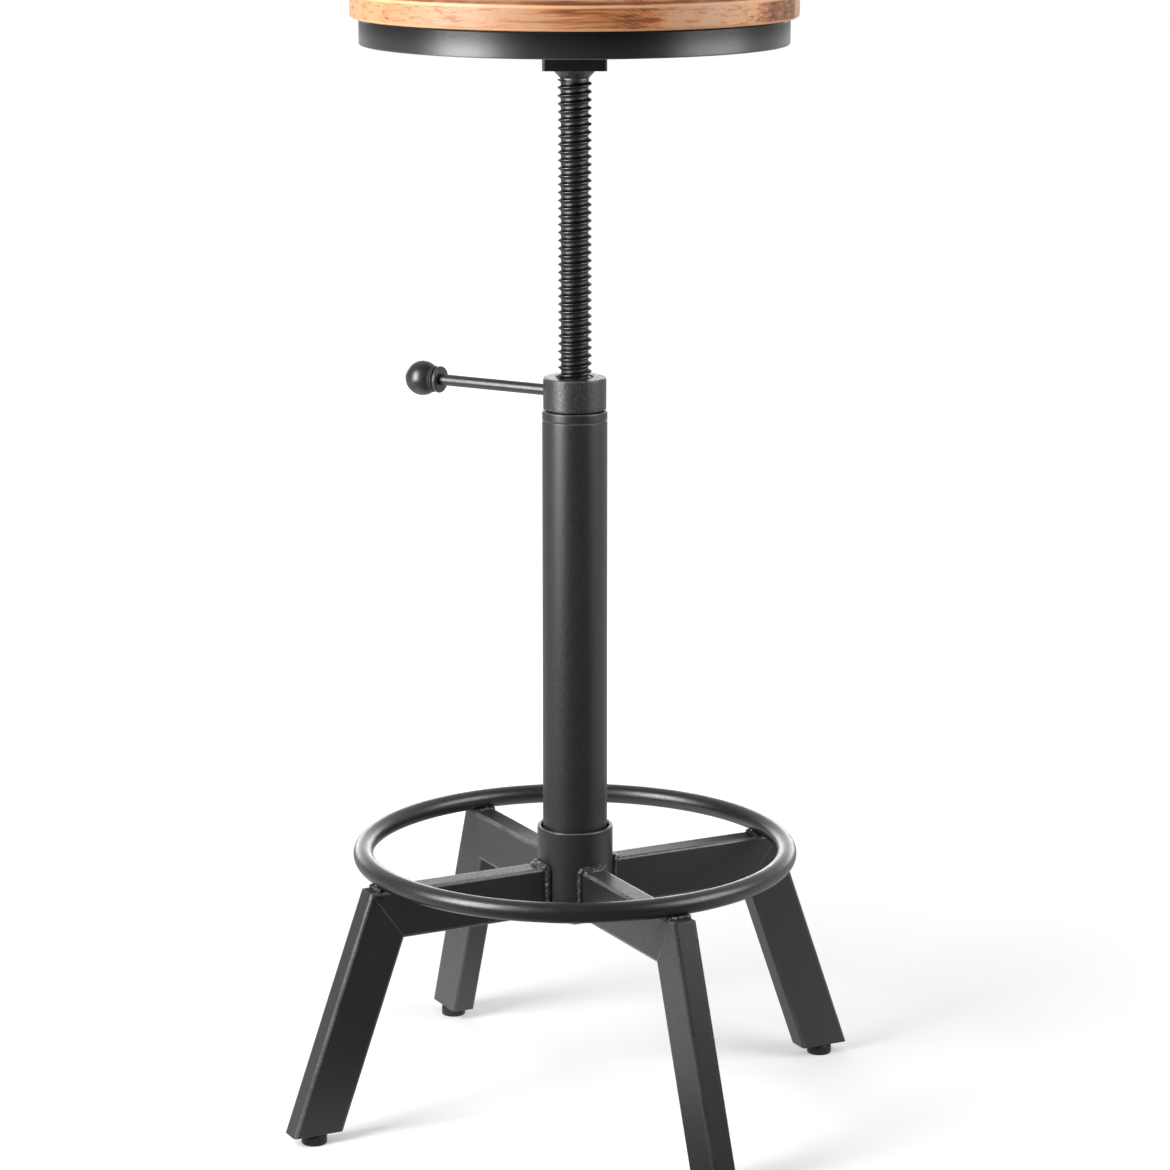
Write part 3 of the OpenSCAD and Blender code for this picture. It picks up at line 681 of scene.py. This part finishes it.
# %% [markdown]
# ## Arms and legs
# Each arm and its leg are one rectangular tube, sawn at a slant and welded at the corner. A bar
# starts as a box, its four long edges are rounded by 2 mm, and bisecting planes saw it off at
# the corner and at the foot. The corner's plane is shared by arm and leg, so they meet without
# a gap. The foot end is inset and pushed in, because the tube is hollow. The four long faces
# get a narrow inset, which keeps the wear and its painted highlight along their edges. One arm
# and one leg are made, and copied by quarters.

# %% Saw the arms and legs
BAR_H = ARM_HIGH - ARM_LOW
BAR_W = span("leg_right", 1)[1] * 2
LEAN = radians(19.8)
CORNER = 162.5
SPARE = 20
inner_corner = CORNER + BAR_H * tan(LEAN) - BAR_H / cos(LEAN)
mitre = Vector((ARM_HIGH - ARM_LOW, 0, inner_corner - CORNER)).normalized()


def saw(place, way):
    """Cuts off what lies on the side that the direction points to, and closes the cut."""
    bpy.ops.mesh.select_all(action="SELECT")
    bpy.ops.mesh.bisect(plane_co=place, plane_no=way, use_fill=True, clear_outer=True)


def bar(name, middle, lean, length):
    """A length of the tube with its long edges rounded, tipped down by its lean."""
    piece = begin(name, bpy.ops.mesh.primitive_cube_add, size=1, location=middle,
                  rotation=(0, lean, 0), scale=mm(length, BAR_W, BAR_H))
    run = Vector((cos(lean), 0, -sin(lean)))
    pick("EDGE", lambda place, way: abs(way.dot(run)) > 0.99)
    bpy.ops.mesh.bevel(offset=2 * MM, segments=4)
    return piece


arm_start = span("arm_right", 0)[0]
arm_end = CORNER + SPARE
arm = bar("arm_right_bar", mm((arm_start + arm_end) / 2, 0, (ARM_LOW + ARM_HIGH) / 2), 0,
          arm_end - arm_start)
saw(mm(CORNER, 0, ARM_HIGH), mitre)
bpy.ops.mesh.normals_make_consistent(inside=False)
leg_foot = span("leg_right")[0]
down = Vector((sin(LEAN), 0, -cos(LEAN)))
side = Vector((cos(LEAN), 0, sin(LEAN)))
corner_point = mm(CORNER, 0, ARM_HIGH)
leg = bar("leg_right_bar", corner_point - side * BAR_H * MM / 2 + down * 0.09,
          pi / 2 - LEAN, 240)
saw(corner_point, -mitre)
saw(mm(0, 0, leg_foot), Vector((0, 0, -1)))
pick("FACE", lambda place, way: way.z < -0.99 and place.z < (leg_foot + 0.1) * MM)
bpy.ops.mesh.inset(thickness=1.6 * MM)
bpy.ops.mesh.extrude_region_move(TRANSFORM_OT_translate={"value": -down * 0.012})
bpy.ops.mesh.select_all(action="SELECT")
bpy.ops.mesh.normals_make_consistent(inside=False)
for piece, across_bar in ((arm, Vector((0, 0, 1))), (leg, side)):
    only(piece)
    bpy.ops.object.mode_set(mode="EDIT")
    pick("FACE", lambda place, way: abs(way.y) > 0.999 or abs(way.dot(across_bar)) > 0.999)
    bpy.ops.mesh.inset(thickness=0.9 * MM, use_individual=True)
    bpy.ops.object.mode_set(mode="OBJECT")
arms, legs = quartered(arm, "arm_{}_bar"), quartered(leg, "leg_{}_bar")
for quarter, arm_piece, leg_piece in zip(QUARTERS, arms, legs):
    finished(arm_piece, "base", "frame_coat", bar_coat, f"arm_{quarter}", angle=25)
    # The left leg's edges get more pale grey, partly wear and partly painted highlight; the other
    # legs' edges mostly only shine.
    coat = bar_coat if quarter == "left" else leg_coat
    finished(leg_piece, "base", "frame_coat", coat, f"leg_{quarter}", angle=25)
print("arms and legs sawn at", round(degrees(atan2(mitre.z, mitre.x))), "degrees")

# %% [markdown]
# ## The foot ring
# The ring is round tube bent to a circle and welded shut, then ground, which leaves a faint
# band at the joint. A circle of the tube's size is spun about the post, and the few faces at
# the joint are swollen by a tenth of a millimetre.

# %% Bend the foot ring
ring_low, ring_high = span("foot_ring")
tube_r = (ring_high - ring_low) / 2
ring_r = span("foot_ring", 0)[1] - tube_r
ring = begin("foot_ring_tube", bpy.ops.mesh.primitive_circle_add, vertices=44, radius=tube_r * MM,
             location=mm(ring_r, 0, (ring_low + ring_high) / 2), rotation=(pi / 2, 0, 0))
bpy.ops.mesh.spin(steps=216, angle=2 * pi, center=(0, 0, 0), axis=(0, 0, 1))
outward()
JOINT = radians(-122)
pick("FACE", lambda place, way: abs(atan2(place.y, place.x) - JOINT) < radians(1.6))
bpy.ops.transform.shrink_fatten(value=0.12 * MM)
finished(ring, "base", "frame_coat", ring_coat, "foot_ring")
print("ring radius", ring_r, "tube radius", tube_r)

# %% [markdown]
# ## Welds
# A weld bead is a row of molten drops that froze one on the other. That is also the simplest
# way to model it: small spheres of uneven size overlap along a line, a voxel remesh melts them
# into one skin, and a little smoothing settles it. The seed is fixed, so each run is the same.

# %% A torch that lays beads
torch = random.Random(7)


def bead(start, end, size):
    """Drops of about the given radius in mm, from start to end in mm."""
    start, end = Vector(start), Vector(end)
    count = max(2, int((end - start).length / (0.62 * size)))
    drops = []
    for number in range(count + 1):
        place = start.lerp(end, number / count)
        place += Vector([torch.uniform(-0.10, 0.10) * size for axis in range(3)])
        drops.append((place, size * torch.uniform(0.86, 1.14)))
    return drops


def welded(name, drops, voxel=0.42):
    """Melts the drops into one piece."""
    place, size = drops[0]
    piece = begin(name, bpy.ops.mesh.primitive_ico_sphere_add, subdivisions=2, radius=size * MM,
                  location=place * MM)
    for place, size in drops[1:]:
        bpy.ops.mesh.primitive_ico_sphere_add(subdivisions=2, radius=size * MM,
                                              location=place * MM)
    bpy.ops.object.mode_set(mode="OBJECT")
    modify(piece, "REMESH", mode="VOXEL", voxel_size=voxel * MM)
    modify(piece, "SMOOTH", factor=0.5, iterations=5)
    return piece


half_w = BAR_W / 2
face_r = sqrt(sleeve_r ** 2 - half_w ** 2)
drops = bead((face_r + 2.2, -7.6, ARM_HIGH + 0.1), (face_r + 2.2, 7.6, ARM_HIGH + 0.1), 3.5)
drops += bead((face_r + 5.2, -5.6, ARM_HIGH - 0.7), (face_r + 5.2, 5.0, ARM_HIGH - 0.7), 2.7)
for edge in (-half_w - 0.7, half_w + 0.7):
    drops += bead((face_r + 1.1, edge, ARM_HIGH - 1), (face_r + 1.1, edge, ARM_LOW + 2), 2.3)
arm_beads = joined("arm_weld_beads", quartered(welded("arm_weld_right", drops), "arm_weld_{}"))
finished(arm_beads, "base", "weld_coat", weld_coat, "arm_welds", angle=80)

pad_z = ARM_HIGH + 0.5
drops = bead((ring_r + 4.9, -6.6, pad_z), (ring_r + 5.0, 6.4, pad_z), 2.0)
drops += bead((ring_r - 4.9, -6.2, pad_z), (ring_r - 5.0, 6.6, pad_z), 2.0)
drops += bead((ring_r, -4, pad_z - 0.6), (ring_r, 4, pad_z - 0.6), 2.2)
ring_weld = welded("ring_weld_right", drops, 0.36)
ring_beads = joined("ring_weld_beads", quartered(ring_weld, "ring_weld_{}"))
finished(ring_beads, "base", "weld_coat", weld_coat, "ring_pads", angle=80)
print("weld faces", len(arm_beads.data.polygons) + len(ring_beads.data.polygons))

# %% [markdown]
# ## Feet
# Each leg stands on a black moulded foot that screws in and out on a zinc stud. The foot is
# turned with a rounded tread and a soft shoulder. The stud's thread is small, yet it shows as
# soon as a foot is let down, so it is cut with the same tool as the big screw's. The other
# three feet are copies of the finished right one.

# %% A tool that cuts threads
def threaded(name, root, top, pitch, crest, floor, low, high, sides, start=0.0):
    """A right-hand thread about the z axis, with its ends closed. All in mm: root and top are
    radii, crest and floor are how wide the flats are, and start shifts the thread along z."""
    flank = (pitch - crest - floor) / 2
    heights = [0, floor, floor + flank, floor + flank + crest, pitch]
    radii = [root, root, top, top, root]
    base = low - pitch - start % pitch
    points = [mm(radius, 0, base + height) for radius, height in zip(radii, heights)]
    piece = begin(name, bpy.ops.mesh.primitive_plane_add, size=MM, location=points[0])
    bpy.ops.mesh.merge(type="CENTER")
    for last, point in zip(points, points[1:]):
        bpy.ops.mesh.extrude_region_move(TRANSFORM_OT_translate={"value": point - last})
    for number in (2, 3):
        corner = points[number]
        pick("VERT", lambda place, way: (place - corner).length < 1e-7)
        bpy.ops.mesh.bevel(offset=crest * 0.48 * MM, segments=3, affect="VERTICES")
    corner = points[1]
    pick("VERT", lambda place, way: (place - corner).length < 1e-7)
    bpy.ops.mesh.bevel(offset=floor * 0.4 * MM, segments=2, affect="VERTICES")
    bpy.ops.object.mode_set(mode="OBJECT")
    turns = int((high - low) / pitch) + 4
    modify(piece, "SCREW", axis="Z", screw_offset=pitch * MM, iterations=turns, steps=sides,
           render_steps=sides, use_merge_vertices=False, use_normal_calculate=True)
    bpy.ops.object.mode_set(mode="EDIT")
    bpy.ops.mesh.select_all(action="SELECT")
    bpy.ops.mesh.remove_doubles(threshold=1e-6)
    saw(mm(0, 0, high), Vector((0, 0, 1)))
    saw(mm(0, 0, low), Vector((0, 0, -1)))
    bpy.ops.mesh.select_all(action="SELECT")
    bpy.ops.mesh.normals_make_consistent(inside=False)
    bpy.ops.object.mode_set(mode="OBJECT")
    return piece


def moved(piece, shift):
    """Moves a piece's mesh, not its object."""
    only(piece)
    piece.location = shift
    bpy.ops.object.transform_apply(location=True, rotation=False, scale=False)
    return piece


foot_low, foot_high = span("foot_right")
stud_low, stud_high = span("foot_stud_right")
foot = turned("foot_right_pad", [
    (0, foot_low), (9, foot_low), (9, foot_high - 1.6), (8.2, foot_high), (4.05, foot_high),
    (4.05, 2.2), (0, 2.2)], [(1, 1.2), (2, 0.5), (3, 0.4)], 64, closed=False)
moved(foot, mm(FOOT_REACH, 0, 0))
stud = threaded("foot_right_stud", 3.4, 4.0, 1.25, 0.16, 0.16, stud_low + 0.3, stud_high - 0.3,
                32)
moved(stud, mm(FOOT_REACH, 0, 0))
for turn, quarter in enumerate(QUARTERS):
    pad = copied(foot, f"foot_{quarter}_pad", turn) if turn else foot
    rod = copied(stud, f"foot_{quarter}_stud", turn) if turn else stud
    finished(pad, f"foot_{quarter}", "foot_plastic", foot_plastic, f"foot_{quarter}")
    finished(rod, f"stud_{quarter}", "zinc_steel", zinc_steel, f"foot_stud_{quarter}")
print("feet", foot_low, "to", foot_high, "studs", len(stud.data.polygons), "faces")

# %% [markdown]
# ## The lead screw
# The seat rises on a rolled screw of 24 mm with one start and a pitch of 5.5 mm. Its crests are
# narrow, its roots are wide flats, and the plain neck at its top is welded under the seat's
# block. The thread is started so that its crests lie at the heights that the photograph shows.
# How far each point faces down is kept for the finish, which paints the lower flanks darker, as
# shade.

# %% Roll the lead screw
screw_low, screw_high = span("lead_screw")
block_low = span("block_plate")[0]
thread_high = block_low - 7
ROOT_R, CREST_R, SCREW_PITCH, THREAD_START = 9.5, 12.0, 5.5, 4.65
thread = threaded("screw_thread", ROOT_R, CREST_R, SCREW_PITCH, 0.5, 2.2, screw_low,
                  thread_high - 0.3, 48, THREAD_START)
neck = turned("screw_neck", [(0, thread_high - 3), (9.4, thread_high - 3), (9.9, thread_high),
                             (9.9, screw_high), (0, screw_high)], [(2, 0.5)], 72, closed=False)
tip = turned("screw_tip", [(9.2, screw_low + 2), (9.2, screw_low), (0, screw_low),
                           (0, screw_low + 2)], [(1, 0.4)], 72, closed=False)
screw = joined("screw", [thread, neck, tip])
facing_down = screw.data.attributes.new("under", "FLOAT", "POINT")
facing_down.data.foreach_set("value", [max(0.0, -vert.normal.z) for vert in screw.data.vertices])
finished(screw, "seat", "screw_steel", screw_steel, "lead_screw", angle=50)
print("screw faces", len(screw.data.polygons))

# %% [markdown]
# The weld under the block is wide and was ground to a cone, so it is turned and not laid in
# drops. A fine ripple stays on it, which comes from pushing its points in and out a little.

# %% Turn the ground weld under the block
cone = [(15.6, 0.0), (15.2, 0.5), (14.1, 1.5), (13.0, 2.6), (11.9, 3.7), (10.9, 4.8), (10.0, 5.9)]
neck_weld = turned("neck_weld", [(radius, block_low - drop) for radius, drop in cone]
                   + [(9.0, block_low - 5.9), (9.0, block_low)], [(7, 0.2)], 90)
pick("VERT", lambda place, way: place.z < (block_low - 0.4) * MM
     and hypot(place.x, place.y) > 9.6 * MM)
bpy.ops.transform.vertex_random(offset=0.16 * MM, uniform=0.3, normal=0.7, seed=4)
finished(neck_weld, "seat", "weld_coat", weld_coat, "neck_weld_bead", angle=80)
print("neck weld faces", len(neck_weld.data.polygons))

# %% [markdown]
# ## The locking collar, its lever and the ball
# The collar is a ring with the nut's plain bore and a countersunk mouth. Its lever is a plain
# rod, and the ball on the lever's end is turned with its neck: two fine beads between the ball
# and a rounded flange. The rod and ball are turned upright, and then laid over to point where
# the lever does.

# %% Turn the collar, lever and ball
collar_low, collar_high = span("lock_collar")
collar_r = span("lock_collar", 0)[1]
collar = turned("collar_ring", [
    (collar_r, collar_low), (collar_r, collar_high), (BORE_R + 1.8, collar_high),
    (BORE_R, collar_high - 1.8), (BORE_R, collar_low)], [(0, 0.4), (1, 0.9), (2, 0.3)], 128)
finished(collar, "collar", "collar_coat", collar_coat, "lock_collar")

lever_z = sum(span("lock_lever")) / 2
LEVER_YAW = radians(122)
LEVER_REACH = 125.5


def laid_over(piece):
    """Tips an upright piece over, so that its z axis runs out along the lever."""
    only(piece)
    piece.rotation_euler = (0, pi / 2, LEVER_YAW)
    piece.location = mm(0, 0, lever_z)
    bpy.ops.object.transform_apply(location=True, rotation=True, scale=False)
    return piece


lever = turned("lever_rod", [(0, 14.1), (4, 14.1), (4, LEVER_REACH - 2), (0, LEVER_REACH - 2)],
               [(2, 0.5)], 48, closed=False)
finished(laid_over(lever), "collar", "lever_coat", lever_coat, "lock_lever")

BALL_R = 12.4
out = LEVER_REACH
outline = [(4.05, out - 16)]
outline += [(7.95 + 1.6 * cos(a), out - 14.4 - 1.6 * sin(a)) for a in
            [radians(90 - 15 * k) for k in range(13)]]
outline += [(7.3, out - 12.7), (7.2, out - 12.2), (8.7, out - 11.8), (9.1, out - 11.3),
            (8.7, out - 10.8), (8.1, out - 10.5), (9.1, out - 10.1), (9.5, out - 9.6),
            (9.1, out - 9.1), (8.5, out - 9.05)]
neck_angle = atan2(-9.02, 8.5)
outline += [(BALL_R * cos(a), out + BALL_R * sin(a)) for a in
            [neck_angle + (pi / 2 - neck_angle) * k / 26 for k in range(27)]]
outline[-1] = (0, out + BALL_R)
outline += [(0, out - 2), (4.05, out - 2)]
ball = turned("lever_ball", outline, [], 72)
finished(laid_over(ball), "collar", "lever_coat", lever_coat, "ball_knob", angle=32)
print("collar", collar_low, "to", collar_high, "lever height", lever_z)

# %% [markdown]
# ## The seat's pan, block and screws
# The pan is a flat steel plate with a rim, screwed up into the boards. The rim is rounded at
# both edges. The square block under it is a piece of box tube, turned to face the camera, and a
# plate closes its foot. Eight pan-head screws with cross recesses show from below.

# %% Press the pan
rim_r = span("seat_rim", 0)[1]
SEAT_YAW = radians(-27)
rim = turned("pan_rim", [(rim_r, PAN_LOW), (rim_r, PAN_HIGH), (rim_r - 2, PAN_HIGH),
                         (rim_r - 2, PAN_LOW)], [(0, 0.8), (1, 1.7), (3, 0.2)], 256)
finished(rim, "seat", "pan_coat", pan_coat, "seat_rim")
plate_low, plate_high = span("seat_plate")
plate = turned("pan_plate", [
    (0, plate_low), (rim_r - 4.5, plate_low), (rim_r - 2, plate_low - 0.9),
    (rim_r - 2, plate_high), (0, plate_high)], [(1, 2.0)], 256, closed=False)
finished(plate, "seat", "pan_coat", pan_coat, "seat_plate")

BLOCK_W = 44
block_top = span("seat_block")[1]


def square(name, low, high, rounding):
    """A block with its upright edges rounded, turned as the seat is."""
    piece = begin(name, bpy.ops.mesh.primitive_cube_add, size=1, rotation=(0, 0, SEAT_YAW),
                  location=mm(0, 0, (low + high) / 2), scale=mm(BLOCK_W, BLOCK_W, high - low))
    pick("EDGE", lambda place, way: abs(way.z) > 0.99)
    bpy.ops.mesh.bevel(offset=rounding * MM, segments=5)
    return piece


block = square("block_tube", span("seat_block")[0], block_top, 2.2)
pick("FACE", lambda place, way: abs(way.z) > 0.99)
bpy.ops.mesh.inset(thickness=3 * MM)
bpy.ops.mesh.bridge_edge_loops()
outward()
finished(block, "seat", "pan_coat", block_shade_coat, "seat_block", angle=25)
cap = square("block_cap", block_low, span("block_plate")[1], 2.2)
pick("EDGE", lambda place, way: place.z < (block_low + 0.01) * MM)
bpy.ops.mesh.bevel(offset=0.5 * MM, segments=3)
finished(cap, "seat", "pan_coat", block_shade_coat, "block_plate", angle=25)
print("pan radius", rim_r, "block", block_low, "to", block_top)

# %% Screw the pan to the boards
head_low, tip_high = span("seat_screws")
head = turned("screw_head", [
    (0, head_low), (2.6, head_low), (4.4, head_low + 0.6), (5, head_low + 1.7), (5, plate_low),
    (2.5, plate_low), (2.5, tip_high - 3), (0, tip_high)], [(2, 0.8), (3, 0.5)], 40, closed=False)
bpy.ops.object.mode_set(mode="OBJECT")
slots = []
for turn in (0, pi / 2):
    slots.append(begin("slot", bpy.ops.mesh.primitive_cube_add, size=1, scale=mm(4.4, 0.9, 3.2),
                       location=mm(0, 0, head_low), rotation=(0, 0, turn)))
    pick("FACE", lambda place, way: way.z > 0.9)
    bpy.ops.transform.resize(value=(0.35, 0.35, 1))
    bpy.ops.object.mode_set(mode="OBJECT")
for slot in slots:
    modify(head, "BOOLEAN", operation="DIFFERENCE", object=slot, solver="EXACT")
for slot in slots:
    bpy.data.objects.remove(slot)
SCREW_CIRCLE_R = 110
moved(head, mm(SCREW_CIRCLE_R, 0, 0))
heads = []
for number in range(8):
    only(head)
    bpy.ops.object.duplicate()
    heads.append(bpy.context.object)
    heads[-1].rotation_euler = (0, 0, SEAT_YAW + radians(-3) + number * pi / 4)
    bpy.ops.object.transform_apply(location=False, rotation=True, scale=False)
bpy.data.objects.remove(head)
finished(joined("pan_screws", heads), "seat", "zinc_steel", zinc_steel, "seat_screws")
print("screws:", len(heads))

# %% [markdown]
# ## The wooden seat
# In the workshop, five boards are glued edge to edge, and the slab is then cut round and its
# rims are rounded. Here each board starts as the whole rounded disc and is sawn out of it along
# its glue lines, so that the rims of neighbours meet exactly. A fine bevel at the sawn edges
# leaves the hairline that shows there.

# %% Cut the boards
SEAT_R = 152.5
BOARD_W = 65
across = Vector((sin(GRAIN_TURN), cos(GRAIN_TURN), 0))
for number, name in enumerate(woods):
    board = begin(name + "_wood", bpy.ops.mesh.primitive_cylinder_add, vertices=288,
                  radius=SEAT_R * MM, depth=(SEAT_HIGH - SEAT_LOW) * MM,
                  location=mm(0, 0, (SEAT_HIGH + SEAT_LOW) / 2))
    for height, rounding in ((SEAT_LOW, 2.5), (SEAT_HIGH, 4.2)):
        pick("EDGE", lambda place, way: abs(place.z - height * MM) < 1e-5)
        bpy.ops.mesh.bevel(offset=rounding * MM, segments=6)
    near, far = (number - 2.5) * BOARD_W, (number - 1.5) * BOARD_W
    if number > 0:
        saw(across * near * MM, -across)
    if number < 4:
        saw(across * far * MM, across)
    pick("FACE", lambda place, way: abs(way.dot(across)) > 0.999
         and min(abs(place.dot(across) - near * MM), abs(place.dot(across) - far * MM)) < 1e-5)
    bpy.ops.mesh.region_to_loop()
    bpy.ops.mesh.bevel(offset=0.22 * MM, segments=2)
    bpy.ops.mesh.select_all(action="SELECT")
    bpy.ops.mesh.normals_make_consistent(inside=False)
    slot = "light_board" if number % 2 == 0 else "dark_board"
    finished(board, "seat", slot, woods[name], name, angle=30)
print("boards cut from a disc of", 2 * SEAT_R, "mm")

# %% [markdown]
# ## What stays as it was packed
# The washers, the plates in the sleeve and legs, and the plug, guide and shoulder bolt inside
# the post have the right shape already. They keep their solids, and only get their finishes.

# %% Finish the solids that stay
kept = {
    "base_plate": frame_coat, "leg_end_right": frame_coat, "leg_end_back": frame_coat,
    "leg_end_left": frame_coat, "leg_end_front": frame_coat, "column_plug": bare_steel,
    "lock_washer": gap_shade_steel, "screw_guide": guide_nylon, "shoulder_bolt": zinc_steel,
    "guide_washer": zinc_steel, "base_washer": zinc_steel,
}
for name, finish in kept.items():
    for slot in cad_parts[name].material_slots:
        slot.material = finish.material
print("kept solids:", len(kept))

# %% [markdown]
# A hexagon bolt comes up through the plate in the sleeve's foot and holds the post. Its head is
# a six-sided cylinder whose lower edge is broken, and its shank is cut by the thread tool.

# %% Forge the bolt under the base
bolt_low, bolt_high = span("base_bolt")
washer_low = span("base_washer")[0]
hexagon = begin("bolt_head", bpy.ops.mesh.primitive_cylinder_add, vertices=6, radius=10.97 * MM,
                depth=(washer_low - bolt_low) * MM, location=mm(0, 0, (bolt_low + washer_low) / 2),
                rotation=(0, 0, pi / 2))
pick("FACE", lambda place, way: way.z < -0.9)
bpy.ops.mesh.inset(thickness=1.5 * MM)
pick("EDGE", lambda place, way: abs(way.z) < 0.1 and place.z < (bolt_low + 0.1) * MM
     and hypot(place.x, place.y) > 9.2 * MM)
bpy.ops.mesh.bevel(offset=0.9 * MM, segments=3)
bpy.ops.object.mode_set(mode="OBJECT")
shank = threaded("bolt_shank", 5.3, 5.95, 1.75, 0.25, 0.25, washer_low, bolt_high - 0.4, 40)
finished(joined("base_bolt_hex", [hexagon, shank]), "base", "zinc_steel", zinc_steel, "base_bolt")
print("bolt", bolt_low, "to", bolt_high)

# %% [markdown]
# ## Floor, world and lamps
# The stool stands on plain white. The floor shines only for the camera and for reflections, so
# it looks white without lighting the stool, and it still takes the soft shadow of each leg. One
# strong soft box stands to the left, a weaker one to the right, and a faint one hangs high up
# behind. The camera sees a white world, but what the coat mirrors is a studio: pale behind the
# stool and dark behind the camera, which keeps the fronts of the black tubes black. A bright
# strip lies low behind the stool, where a studio's white wall meets its floor, and the mirrored
# floor is brightest behind the stool and on its left. All this follows from the tubes' tones in
# the photograph.

# %% Lay the floor
TO_CAMERA = Vector((sin(VIEW_TURN), -cos(VIEW_TURN), 0))
TO_LEFT = Vector((-cos(VIEW_TURN), -sin(VIEW_TURN), 0))
clear()
bpy.ops.mesh.primitive_plane_add(size=14)
floor = bpy.context.object
floor.name = "floor"
paper = Finish("floor_paper", Roughness=0.9, Specular_IOR_Level=0.1)
rays = paper.tree.nodes.new("ShaderNodeLightPath").outputs
looked_at, mirrored = Wire(paper, rays["Is Camera Ray"]), Wire(paper, rays["Is Glossy Ray"])
paper.finish(paper.mix(looked_at, (0.14, 0.14, 0.14), (0.80, 0.80, 0.80)))
far_x, far_y = paper.parts()[:2]
far = (far_x * far_x + far_y * far_y) ** 0.5
near = paper.fade(far, 0.35, 1.4, 0.32, 1.0)
rear = 0.45 * far - far_x * TO_CAMERA.x - far_y * TO_CAMERA.y
sweep = paper.fade(rear, -0.16, 0.20, 0.0, 0.58)
left = far_x * TO_LEFT.x + far_y * TO_LEFT.y
pool = paper.fade(far, 0.60, 0.32) * paper.fade(left, 0.0, 0.10) * paper.fade(rear, -0.16, 0.0)
sweep = sweep + 0.42 * pool
seen = looked_at * near + mirrored * sweep
glow = paper.node("Emission", {}, {"Color": (1, 1, 1, 1), "Strength": seen})
both = paper.node("AddShader", {}, {0: Wire(paper, paper.shader.outputs[0]), 1: glow})
paper.tree.links.new(both.socket, paper.tree.nodes["Material Output"].inputs["Surface"])
floor.data.materials.append(paper.material)
print("floor laid")

# %% Light the studio
world = bpy.data.worlds.new("studio")
bpy.context.scene.world = world
world.use_nodes = True
sky = Finish("sky_helper")
sky.tree = world.node_tree
sky.tree.nodes.clear()
way = sky.node("TexCoord", {}, {}, "Generated")
ahead = sky.node("VectorMath", {"operation": "DOT_PRODUCT"}, {0: way, 1: TO_CAMERA}, "Value")
leftward = sky.node("VectorMath", {"operation": "DOT_PRODUCT"}, {0: way, 1: TO_LEFT}, "Value")
upward = sky.node("VectorMath", {"operation": "DOT_PRODUCT"}, {0: way, 1: (0, 0, 1)}, "Value")
pale = sky.fade(ahead, 0.30, -0.80, 0.03, 0.68) * sky.fade(leftward, 0.30, 0.80, 1.0, 0.62)
low_strip = sky.fade(upward, 0.0, 0.03) * sky.fade(upward, 0.28, 0.12)
pale = pale + 6 * (sky.fade(ahead, -0.75, -0.92) * low_strip)
path = sky.tree.nodes.new("ShaderNodeLightPath").outputs
camera_ray, glossy_ray = Wire(sky, path["Is Camera Ray"]), Wire(sky, path["Is Glossy Ray"])
strength = camera_ray + (1 - camera_ray) * (glossy_ray * pale + (1 - glossy_ray) * 0.24)
shell = sky.node("Background", {}, {"Color": (1, 1, 1, 1), "Strength": strength})
world_out = sky.tree.nodes.new("ShaderNodeOutputWorld")
sky.tree.links.new(shell.socket, world_out.inputs["Surface"])
bpy.data.materials.remove(sky.material)


def soft_box(name, bearing, distance, height, width, tall, power, aim=0.42):
    """An area lamp. Its bearing counts degrees from the camera's side to the picture's left."""
    turn = radians(bearing)
    place = distance * (cos(turn) * TO_CAMERA + sin(turn) * TO_LEFT) + Vector((0, 0, height))
    aim_way = Vector((0, 0, aim)) - place
    bpy.ops.object.light_add(type="AREA", location=place,
                             rotation=aim_way.to_track_quat("-Z", "Y").to_euler())
    lamp = bpy.context.object
    lamp.name = name
    lamp.data.shape = "RECTANGLE"
    lamp.data.size, lamp.data.size_y, lamp.data.energy = width, tall, power
    return lamp


soft_box("key", bearing=56, distance=1.0, height=0.82, width=0.50, tall=0.92, power=19.5, aim=0.80)
soft_box("fill", bearing=-74, distance=1.1, height=0.90, width=0.80, tall=0.80, power=9.7, aim=0.75)
top = soft_box("top", bearing=150, distance=0.9, height=2.1, width=1.2, tall=1.2, power=6)
top.visible_glossy = False
bpy.context.scene.view_settings.view_transform = "Standard"

# %% [markdown]
# ## Sizes
# The dressed stool has to stay inside the box of its solids.

# %% Finish
print("done")
